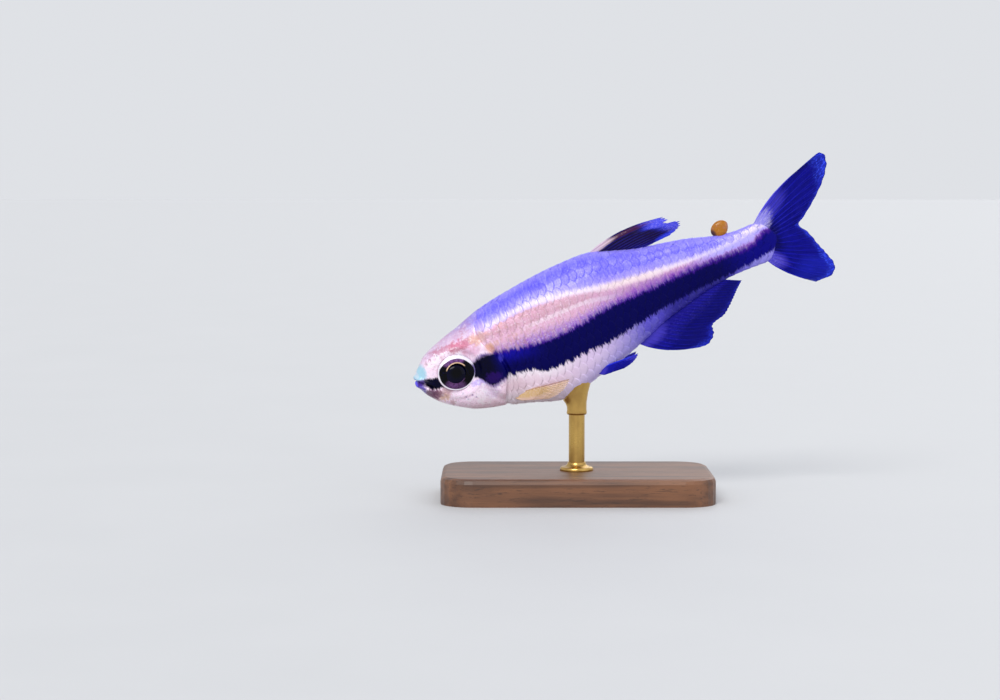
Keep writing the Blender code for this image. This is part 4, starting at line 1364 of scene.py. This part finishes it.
class FinMaker:
    """Draws a fin's rays and membrane on a plan that gives a point for a place across and out."""

    # Each stretch of a ray: where it starts and ends, with the stems it leaves and its own places
    BRANCHES = (
        (0.00, 0.50, ((0.0, 0.0),)),
        (0.46, 0.80, ((0.0, -1.0), (0.0, 1.0))),
        (0.76, 1.00, ((-1.0, -1.5), (-1.0, -0.5), (1.0, 0.5), (1.0, 1.5))),
    )
    BRANCH_SPREAD = 0.17
    EDGE_MERGE = 2e-6
    TIP_THINNING = 0.75
    MEMBRANE_ROWS = 40
    TUBE_SIDES = 6
    TUBE_STEPS = 30

    def __init__(self, sizes, rays, plan, draws, fray):
        self.sizes = sizes
        self.rays = rays
        self.plan = plan
        self.draws = draws
        self.fray = fray
        self.mesh = bmesh.new()
        self.ray = self.mesh.verts.layers.float.new("ray")
        self.uv = {}
        self.lengths = [1 - draws.uniform(0.0, fray * 0.5) for _ in range(rays)]

    def reach(self, across):
        """How far out the membrane goes: full at the rays, less between them."""
        at = across * (self.rays - 1)
        left = min(int(at), self.rays - 2)
        part = at - left
        full = self.lengths[left] * (1 - part) + self.lengths[left + 1] * part
        notch = math.sin(math.pi * part) ** 2 + 0.25 * abs(math.sin(4 * math.pi * part))
        return full - notch * self.fray

    def add_membrane(self):
        columns = 8 * (self.rays - 1)
        half = self.sizes.membrane / 2
        for side in (1, -1):
            made = bmesh.ops.create_grid(
                self.mesh, x_segments=columns, y_segments=self.MEMBRANE_ROWS, size=1.0
            )
            for vert in made["verts"]:
                across = (vert.co.x + 1) / 2
                out = (vert.co.y + 1) / 2
                thin = 1 - self.TIP_THINNING * out
                rim = min(1.0, 12 * min(across, 1 - across, 1 - out) + 0.02)
                point = self.plan(across, out * self.reach(across))
                vert.co = point + Vector((0.0, side * half * thin * rim, 0.0))
                self.uv[vert] = (across, out)
        bmesh.ops.remove_doubles(self.mesh, verts=self.mesh.verts, dist=self.EDGE_MERGE)

    def add_rays(self):
        for index in range(self.rays):
            for level, (start, end, branches) in enumerate(self.BRANCHES):
                for stem, own in branches:
                    self.add_tube(index, start, end, stem, own, 0.7**level)

    def add_tube(self, index, start, end, stem, own, size):
        """One stretch of a ray: a thin tapered tube that leaves its stem for its own place."""
        spacing = 1 / (self.rays - 1)
        steps = max(4, int(self.TUBE_STEPS * (end - start)))
        verts = grid(self.mesh, self.TUBE_SIDES, steps)
        for (turn, step), vert in verts.items():
            out = start + (end - start) * step / steps
            aside = stem + (own - stem) * smooth_between(start, end + 0.05, out)
            across = (index + aside * self.BRANCH_SPREAD) * spacing
            across = min(1.0, max(0.0, across))
            reach = self.reach(across)
            here = self.plan(across, out * reach)
            ahead = self.plan(across, (out + 0.01) * reach) - here
            sideways = ahead.cross(Vector((0.0, 1.0, 0.0))).normalized()
            taper = (1 - self.TIP_THINNING * out) * smooth_between(-0.04, 0.20, out)
            radius = self.sizes.ray_radius * size * taper
            angle = math.tau * turn / self.TUBE_SIDES
            vert.co = here + sideways * (radius * math.cos(angle))
            vert.co.y += radius * math.sin(angle)
            vert[self.ray] = 1.0
            self.uv[vert] = (across, out)
        bmesh.ops.remove_doubles(self.mesh, verts=list(verts.values()), dist=MERGE_DISTANCE)
        self.uv = {vert: place for vert, place in self.uv.items() if vert.is_valid}

    def finish(self, name, material, slot, nodes, place=FISH):
        self.add_membrane()
        self.uv = {vert: spot for vert, spot in self.uv.items() if vert.is_valid}
        self.add_rays()
        open_edges = [edge for edge in self.mesh.edges if edge.is_boundary]
        bmesh.ops.holes_fill(self.mesh, edges=open_edges, sides=8)
        bmesh.ops.recalc_face_normals(self.mesh, faces=self.mesh.faces)
        write_uv(self.mesh, "rays", self.uv)
        return add_piece(name, self.mesh, material, slot, nodes, place)


def outline(rows, across):
    """A point of a fin's outline, in shares along and up."""
    return [curve_through(rows, column, across) for column in (1, 2)]


def median_plan(root, rows, bow, sway):
    """A plan for a fin on the mid line. bow bends the first and the last ray off straight."""

    @lru_cache(maxsize=None)
    def ends(across):
        start_along, start_up = root(across)
        tip_along, tip_up = outline(rows, across)
        return start_along, start_up, tip_along, tip_up

    def plan(across, out):
        start_along, start_up, tip_along, tip_up = ends(round(across, 5))
        run, rise = tip_along - start_along, tip_up - start_up
        bend = (bow[0] + (bow[1] - bow[0]) * across) * math.sin(math.pi * min(out, 1.0))
        along = start_along + run * out + rise * bend
        up = start_up + rise * out - run * bend
        point = Vector((along, 0.0, up)) * STANDARD_LENGTH
        point.y = sway(across, out)
        return point

    return plan


def ridge_root(base, side):
    """The root of a fin on the back (side 1) or the belly (side -1), sunk a little in the skin."""

    def root(across):
        along = base[0] + (base[1] - base[0]) * across
        row = station(along)
        return along, (row.back if side > 0 else row.belly) - side * ROOT_SINK

    return root


def caudal_root(across):
    up = CAUDAL_BASE[0] + (CAUDAL_BASE[1] - CAUDAL_BASE[0]) * across
    return CAUDAL_ROOT + 0.018 * math.sin(math.pi * across), up * 0.96


def ripple(size, turns, start):
    """A slow wave that a fin's sheet carries, still at its root."""

    def wave(across, out):
        return size * out**1.5 * math.sin(math.tau * turns * (across + 0.3 * out) + start)

    return wave


class TETRA_OT_median_fins(bpy.types.Operator):
    """Draw the dorsal, anal and tail fins"""

    bl_idname = "tetra.median_fins"
    bl_label = "Median fins"

    def execute(self, context):
        sizes = context.scene.tetra_sizes
        draws = random.Random(context.scene.tetra_stage.seed + 1)
        for name, rays, plan, fray, parts in self.plans(context.scene.tetra_colours):
            maker = FinMaker(sizes, rays, plan, draws, fray)
            material = fin_finish(f"tetra_{name}", parts)
            maker.finish(f"{name}_rays", material, "fin", (name,))
        return {"FINISHED"}

    def plans(self, paints):
        """Name, rays, plan, fray and colours of each fin."""

        tail_wave = ripple(0.00012, 1.5, 0.4)

        def tail_sway(across, out):
            return CAUDAL_SWEEP * out**2 * (across - CAUDAL_STILL) + tail_wave(across, out)

        back, under = ridge_root(DORSAL_BASE, 1), ridge_root(ANAL_BASE, -1)
        dorsal = median_plan(back, DORSAL_TIPS, (-0.066, 0.0), ripple(0.00010, 1.2, 0.0))
        anal = median_plan(under, ANAL_TIPS, (0.070, 0.0), ripple(0.00012, 2.0, 1.0))
        caudal = median_plan(caudal_root, CAUDAL_TIPS, (-0.055, 0.050), tail_sway)
        plain = {
            "base": paints.fin, "deep": paints.band, "tip": paints.fin_tip, "ray": paints.fin_ray,
            "opacity": 0.96,
        }
        yield "dorsal_fin", 11, dorsal, 0.040, dict(
            plain, base=paints.fin_smoke, tip=paints.back, tip_strength=0.8,
            patches=(
                (0.35, 0.45, 0.60, 0.50, paints.fin_smoke, 0.60),
                (0.30, 1.00, 0.50, 0.32, paints.fin_tip, 0.80),
                (0.95, 0.85, 0.16, 0.30, paints.fin_tip, 0.50),
                (0.10, 0.50, 0.09, 0.34, paints.maroon, 0.45),
                # Painted highlight: pale strokes at the fin's front root.
                (0.04, 0.10, 0.14, 0.24, paints.belly, 0.80),
            ),
            sparks=(
                (0.08, 0.34, 0.06, 0.18, paints.cream, 0.30),
                (0.30, 0.95, 0.55, 0.22, paints.ridge, 0.75),
                (0.95, 0.90, 0.16, 0.26, paints.fin_spark, 0.75),
            ))
        yield "anal_fin", 24, anal, 0.014, dict(
            plain, tip_strength=0.8,
            patches=(
                (0.40, 0.00, 0.55, 0.34, paints.shade, 0.90),
                (0.10, 0.00, 0.20, 0.22, paints.rear_belly, 0.70),
                (0.90, 0.10, 0.16, 0.55, paints.shade, 0.60),
                (0.55, 0.68, 0.60, 0.34, paints.band, 0.55),
            ),
            sparks=(
                (0.03, 0.95, 0.10, 0.16, paints.fin_spark, 0.60),
                (0.50, 0.30, 0.50, 0.22, paints.rear_belly, 0.30),
            ))
        yield "caudal_fin", 19, caudal, 0.012, dict(
            plain, tip_strength=0.9,
            patches=(
                (0.53, 0.00, 0.28, 0.36, paints.band, 0.95),
                (0.08, 0.00, 0.24, 0.22, paints.fin_root, 0.74),
                (0.08, 0.22, 0.13, 0.24, paints.back, 0.28),
                (0.92, 0.03, 0.16, 0.28, paints.rear_belly, 0.75),
                (0.00, 0.40, 0.03, 0.34, paints.back, 0.50),
                (0.92, 0.80, 0.14, 0.34, paints.fin_tip, 0.16),
            ),
            sparks=(
                (0.12, 0.06, 0.20, 0.17, paints.tooth, 0.45),
                (0.93, 0.03, 0.12, 0.20, paints.fin_root, 0.40),
                (0.12, 0.96, 0.13, 0.12, paints.fin_spark, 0.95),
                (0.82, 0.97, 0.18, 0.09, paints.fin_spark, 0.95),
                (0.52, 0.98, 0.10, 0.06, paints.fin_spark, 0.60),
            ))


LAST_RAY_SHORTER = 0.42
FAN_OVERLAP = 0.004


def fan_plan(reach, angle, root_width, cup):
    """A plan for a paired fin: a fan that points along +X, its first ray the longest."""

    def plan(across, out):
        turn = angle * (0.5 - across)
        far = reach * (1 - LAST_RAY_SHORTER * across**1.5)
        root_up = (0.5 - across) * root_width * (0.35 + 0.65 * smooth_between(-0.05, 0.22, out))
        along = (math.cos(turn) * far + FAN_OVERLAP) * out - FAN_OVERLAP
        up = root_up * (1 - out / 2) + math.sin(turn) * far * out
        lean = cup * math.sin(math.pi * across) * out**1.5
        return Vector((along, lean, up)) * STANDARD_LENGTH

    return plan


def side_at(along, up):
    """Half width of the body at a share along and a share up, in shares."""
    row = station(along)
    upper = up >= row.widest
    full = row.back_full if upper else row.belly_full
    part = min(1.0, (up - row.widest) / ((row.back if upper else row.belly) - row.widest))
    return row.half * (1 - part**full) ** (1 / full)


class TETRA_OT_paired_fins(bpy.types.Operator):
    """Draw the pectoral and pelvic fins, folded back along the body"""

    bl_idname = "tetra.paired_fins"
    bl_label = "Paired fins"

    # How deep the root sits in the side, its width and the fan's cup, in shares, and the fray
    ROOT_DEPTH = 0.002
    ROOT_WIDTH = 0.017
    CUP = -0.006
    FRAY = 0.02

    def execute(self, context):
        paints = context.scene.tetra_colours
        pectoral = dict(
            base=paints.pectoral, deep=paints.gold, tip=paints.tooth, ray=paints.belly, tip_strength=0.4,
            opacity=0.40,
            patches=(
                (0.02, 0.40, 0.05, 0.60, paints.brown, 0.90),
                (0.35, 0.25, 0.40, 0.45, paints.pectoral, 0.60),
            ),
            sparks=((0.30, 0.60, 0.60, 0.50, paints.tooth, 0.30),))
        pelvic = dict(
            base=paints.fin, deep=paints.band, tip=paints.back, ray=paints.fin_ray, tip_strength=0.6,
            opacity=0.92,
            patches=(
                (0.02, 0.50, 0.07, 0.60, paints.fin_tip, 0.60),
                (0.50, 0.10, 0.60, 0.16, paints.rear_belly, 0.60),
            ),
            sparks=((0.10, 0.90, 0.20, 0.20, paints.back, 0.90),))
        self.add_pair(
            context, "pectoral_fin", 11, (0.241, -0.136), 0.158, (17, 17, 12), pectoral, "pectoral"
        )
        self.add_pair(context, "pelvic_fin", 8, (0.474, -0.161), 0.116, (11, 9, 3), pelvic, "fin")
        return {"FINISHED"}

    def add_pair(self, context, name, rays, root, reach, angles, parts, slot):
        """A left and a right fin. angles are the fan's spread, its splay and its droop."""
        fan, splay, droop = (math.radians(angle) for angle in angles)
        material = fin_finish(f"tetra_{name}", parts)
        centre = Vector((root[0], self.ROOT_DEPTH - side_at(*root), root[1])) * STANDARD_LENGTH
        turn = Matrix.Rotation(-splay, 4, "Z") @ Matrix.Rotation(droop, 4, "Y")
        for side, word in ((1, "left"), (-1, "right")):
            draws = random.Random(context.scene.tetra_stage.seed + 2)
            plan = fan_plan(reach, fan, self.ROOT_WIDTH, self.CUP)
            maker = FinMaker(context.scene.tetra_sizes, rays, plan, draws, self.FRAY)
            flip = Matrix.Diagonal((1, side, 1, 1))
            place = FISH @ flip @ Matrix.Translation(centre) @ turn
            piece = maker.finish(f"{name}_rays_{word}", material, slot, (f"{name}_{word}",), place)
            if side < 0:
                piece.data.flip_normals()


class TETRA_OT_adipose_fin(bpy.types.Operator):
    """Shape the small fleshy lobe behind the dorsal fin"""

    bl_idname = "tetra.adipose_fin"
    bl_label = "Adipose fin"

    def execute(self, context):
        mesh = bmesh.new()
        bmesh.ops.create_uvsphere(mesh, u_segments=64, v_segments=40, radius=1.0)
        place = mesh.verts.layers.float_vector.new("place")
        up = station(ADIPOSE_ALONG).back + ADIPOSE_LIFT
        lean = Matrix.Rotation(-ADIPOSE_LEAN, 4, "Y")
        for vert in mesh.verts:
            foot = smooth_between(0.2, -1.0, vert.co.z)
            vert.co = Vector((
                vert.co.x * ADIPOSE_HALF[0] * (1 - 0.18 * foot),
                vert.co.y * (ADIPOSE_HALF[1] + 0.003 * foot),
                vert.co.z * ADIPOSE_HALF[2],
            ))
            vert.co = lean @ vert.co + Vector((ADIPOSE_ALONG, 0.0, up))
            vert[place] = (vert.co.x, vert.co.z, vert.co.y)
        bmesh.ops.scale(mesh, vec=(STANDARD_LENGTH,) * 3, verts=mesh.verts)
        material = adipose_finish(context.scene.tetra_colours)
        add_piece("adipose_lobe", mesh, material, "adipose", ("adipose_fin",))
        return {"FINISHED"}


class TETRA_OT_stand(bpy.types.Operator):
    """Finish the base and the rod, and fit a collar and a cup to the rod"""

    bl_idname = "tetra.stand"
    bl_label = "Stand"

    def execute(self, context):
        paints = context.scene.tetra_colours
        brass = brass_finish(paints)
        for node, material in (("stand_base", wood_finish(paints)), ("stand_rod", brass)):
            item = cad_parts[node]
            item.data.materials.clear()
            item.data.materials.append(material)
        low, high = (Vector(corner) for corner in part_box("stand_rod"))
        radius = (high.x - low.x) / 2
        top_of_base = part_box("stand_base")[1][2]
        centre = Vector(((low.x + high.x) / 2, (low.y + high.y) / 2, top_of_base))
        mesh = bmesh.new()
        turned(mesh, self.collar_profile(radius), 64)
        add_piece("stand_collar", mesh, brass, "stand_metal", place=Matrix.Translation(centre))
        self.add_cup(context, centre, radius, brass)
        return {"FINISHED"}

    # The collar, in radii of the rod: its bore, its foot, the round over the foot, where the neck
    # ends, and its height with the share of it that the foot takes. It is set into the wood
    COLLAR_BORE = 0.98
    COLLAR_FOOT = 2.10
    COLLAR_ROUND = 0.25
    COLLAR_NECK = 1.12
    COLLAR_HEIGHT = 0.90
    COLLAR_LOW = 0.35
    COLLAR_SUNK = 0.0001

    def collar_profile(self, radius):
        """A low round foot that sweeps up into a neck round the rod."""
        tall = self.COLLAR_HEIGHT * radius
        sweep = self.COLLAR_FOOT - self.COLLAR_ROUND - self.COLLAR_NECK
        turns = [i * math.pi / 16 for i in range(9)]
        rows = [(self.COLLAR_BORE, -self.COLLAR_SUNK), (self.COLLAR_FOOT, -self.COLLAR_SUNK)]
        for turn in turns:
            width = self.COLLAR_FOOT - self.COLLAR_ROUND * (1 - math.cos(turn))
            rows.append((width, tall * self.COLLAR_LOW * math.sin(turn) + self.COLLAR_SUNK))
        for turn in turns:
            rise = self.COLLAR_LOW + (1 - self.COLLAR_LOW) * (1 - math.cos(turn))
            width = self.COLLAR_NECK + sweep * (1 - math.sin(turn))
            rows.append((width, tall * rise + self.COLLAR_SUNK))
        rows += [(self.COLLAR_BORE, tall + self.COLLAR_SUNK), (self.COLLAR_BORE, -self.COLLAR_SUNK)]
        return [(width * radius, height) for width, height in rows]

    # Rings of the cup, from the rod to the belly: rod radii out, metres under the rim, and how
    # much of the belly's slope the ring takes
    CUP_RINGS = (
        (1.03, 0.00190, 0.0), (1.22, 0.00186, 0.0), (1.28, 0.00172, 0.0), (1.22, 0.00150, 0.1),
        (1.24, 0.00110, 0.4), (1.42, 0.00060, 0.8), (1.66, 0.00026, 1.0), (1.74, 0.00010, 1.0),
        (1.68, -0.00004, 1.0), (0.60, -0.00010, 1.0),
    )

    def add_cup(self, context, centre, radius, brass):
        """A cup at the top of the rod, whose rim lies along the belly."""
        skin = BVHTree.FromObject(bpy.data.objects["skin"], context.evaluated_depsgraph_get())
        mesh = bmesh.new()
        loops = []
        above = Vector((0.0, 0.0, 1.0))
        middle = skin.ray_cast(centre, above)[0].z
        for size, drop, slope in self.CUP_RINGS:
            ring = bmesh.ops.create_circle(mesh, segments=48, radius=size * radius)["verts"]
            for vert in ring:
                vert.co += centre
                belly = skin.ray_cast(vert.co, above)[0].z
                vert.co.z = middle + (belly - middle) * slope - drop
            loops.append(list({edge for vert in ring for edge in vert.link_edges}))
        for lower, upper in zip(loops, loops[1:]):
            bmesh.ops.bridge_loops(mesh, edges=lower + upper)
        bmesh.ops.holes_fill(mesh, edges=loops[0] + loops[-1], sides=0)
        bmesh.ops.recalc_face_normals(mesh, faces=mesh.faces)
        add_piece("stand_cup", mesh, brass, "stand_metal", place=Matrix())


class TETRA_OT_stage(bpy.types.Operator):
    """Lay the floor and set the lights and the camera"""

    bl_idname = "tetra.stage"
    bl_label = "Stage"

    # The photograph's frame: its size, the place of the snout's tip and the standard length in it
    FRAME_WIDTH = 1000
    FRAME_HEIGHT = 700
    SNOUT_PIXEL = (415, 383)
    LENGTH_PIXELS = 369.5

    # Lamps: where each shines from, its share of the key light, its spread in degrees, its colour
    SUNS = (
        ("key", (-0.40, -1.05, 0.95), 1.00, 25, (1.0, 0.985, 0.96)),
        ("fill", (1.2, -0.8, 0.5), 0.22, 60, (0.92, 0.95, 1.0)),
        ("back", (0.5, 1.2, 0.9), 0.30, 40, (0.95, 0.97, 1.0)),
    )
    SKY_COLOUR = (0.86, 0.88, 0.92, 1.0)
    FLOOR_RADIUS = 4.0

    def execute(self, context):
        stage = context.scene.tetra_stage
        self.add_floor(context)
        snout = FISH.translation
        metres = STANDARD_LENGTH / self.LENGTH_PIXELS
        aim = snout + Vector((
            (self.FRAME_WIDTH / 2 - self.SNOUT_PIXEL[0]) * metres,
            0.0,
            (self.SNOUT_PIXEL[1] - self.FRAME_HEIGHT / 2) * metres,
        ))
        data = bpy.data.cameras.new("camera")
        data.lens = stage.lens
        distance = stage.lens * self.FRAME_WIDTH * metres / data.sensor_width
        data.clip_start, data.clip_end = distance / 50, distance * 100
        camera = bpy.data.objects.new("camera", data)
        away = Vector((0.0, -math.cos(stage.elevation), math.sin(stage.elevation)))
        camera.location = aim + away * distance
        camera.rotation_euler = (math.pi / 2 - stage.elevation, 0.0, 0.0)
        context.scene.collection.objects.link(camera)
        context.scene.camera = camera
        for name, towards, strength, spread_degrees, colour in self.SUNS:
            self.add_sun(context, name, towards, stage.key * strength, spread_degrees, colour)
        world = bpy.data.worlds.new("world")
        world.use_nodes = True
        sky = world.node_tree.nodes["Background"]
        sky.inputs["Color"].default_value = self.SKY_COLOUR
        sky.inputs["Strength"].default_value = stage.sky
        context.scene.world = world
        context.scene.view_settings.view_transform = "Standard"
        return {"FINISHED"}

    def add_floor(self, context):
        mesh = bmesh.new()
        bmesh.ops.create_circle(mesh, cap_ends=True, segments=96, radius=self.FLOOR_RADIUS)
        data = bpy.data.meshes.new("floor")
        mesh.to_mesh(data)
        mesh.free()
        data.materials.append(floor_finish(context.scene.tetra_colours))
        floor = bpy.data.objects.new("floor", data)
        context.scene.collection.objects.link(floor)

    def add_sun(self, context, name, towards, power, spread_degrees, colour):
        """A soft distant lamp that shines from the direction given."""
        data = bpy.data.lights.new(name, "SUN")
        data.angle = math.radians(spread_degrees)
        data.energy = power
        data.color = colour
        light = bpy.data.objects.new(name, data)
        light.rotation_euler = Vector(towards).to_track_quat("Z", "Y").to_euler()
        context.scene.collection.objects.link(light)


STEPS = ("skin", "scales", "eyes", "median_fins", "paired_fins", "adipose_fin", "stand", "stage")


class TETRA_PT_panel(bpy.types.Panel):
    """Lists the steps, the sizes and the colours"""

    bl_label = "Royal Tetra"
    bl_idname = "TETRA_PT_panel"
    bl_space_type = "VIEW_3D"
    bl_region_type = "UI"
    bl_category = "Royal Tetra"

    def draw(self, context):
        for step in STEPS:
            self.layout.operator(f"tetra.{step}")
        for group in (context.scene.tetra_sizes, context.scene.tetra_colours, context.scene.tetra_stage):
            box = self.layout.box()
            for name in group.__annotations__:
                box.prop(group, name)


CLASSES = (
    TetraSizes, TetraColours, TetraStage, TETRA_OT_skin, TETRA_OT_scales, TETRA_OT_eyes,
    TETRA_OT_median_fins, TETRA_OT_paired_fins, TETRA_OT_adipose_fin, TETRA_OT_stand,
    TETRA_OT_stage, TETRA_PT_panel,
)


def register():
    for made in CLASSES:
        bpy.utils.register_class(made)
    bpy.types.Scene.tetra_sizes = PointerProperty(type=TetraSizes)
    bpy.types.Scene.tetra_colours = PointerProperty(type=TetraColours)
    bpy.types.Scene.tetra_stage = PointerProperty(type=TetraStage)


def unregister():
    for name in ("tetra_sizes", "tetra_colours", "tetra_stage"):
        delattr(bpy.types.Scene, name)
    for made in reversed(CLASSES):
        bpy.utils.unregister_class(made)


def main():
    register()
    for step in STEPS:
        getattr(bpy.ops.tetra, step)()


if __name__ == "__main__":
    main()
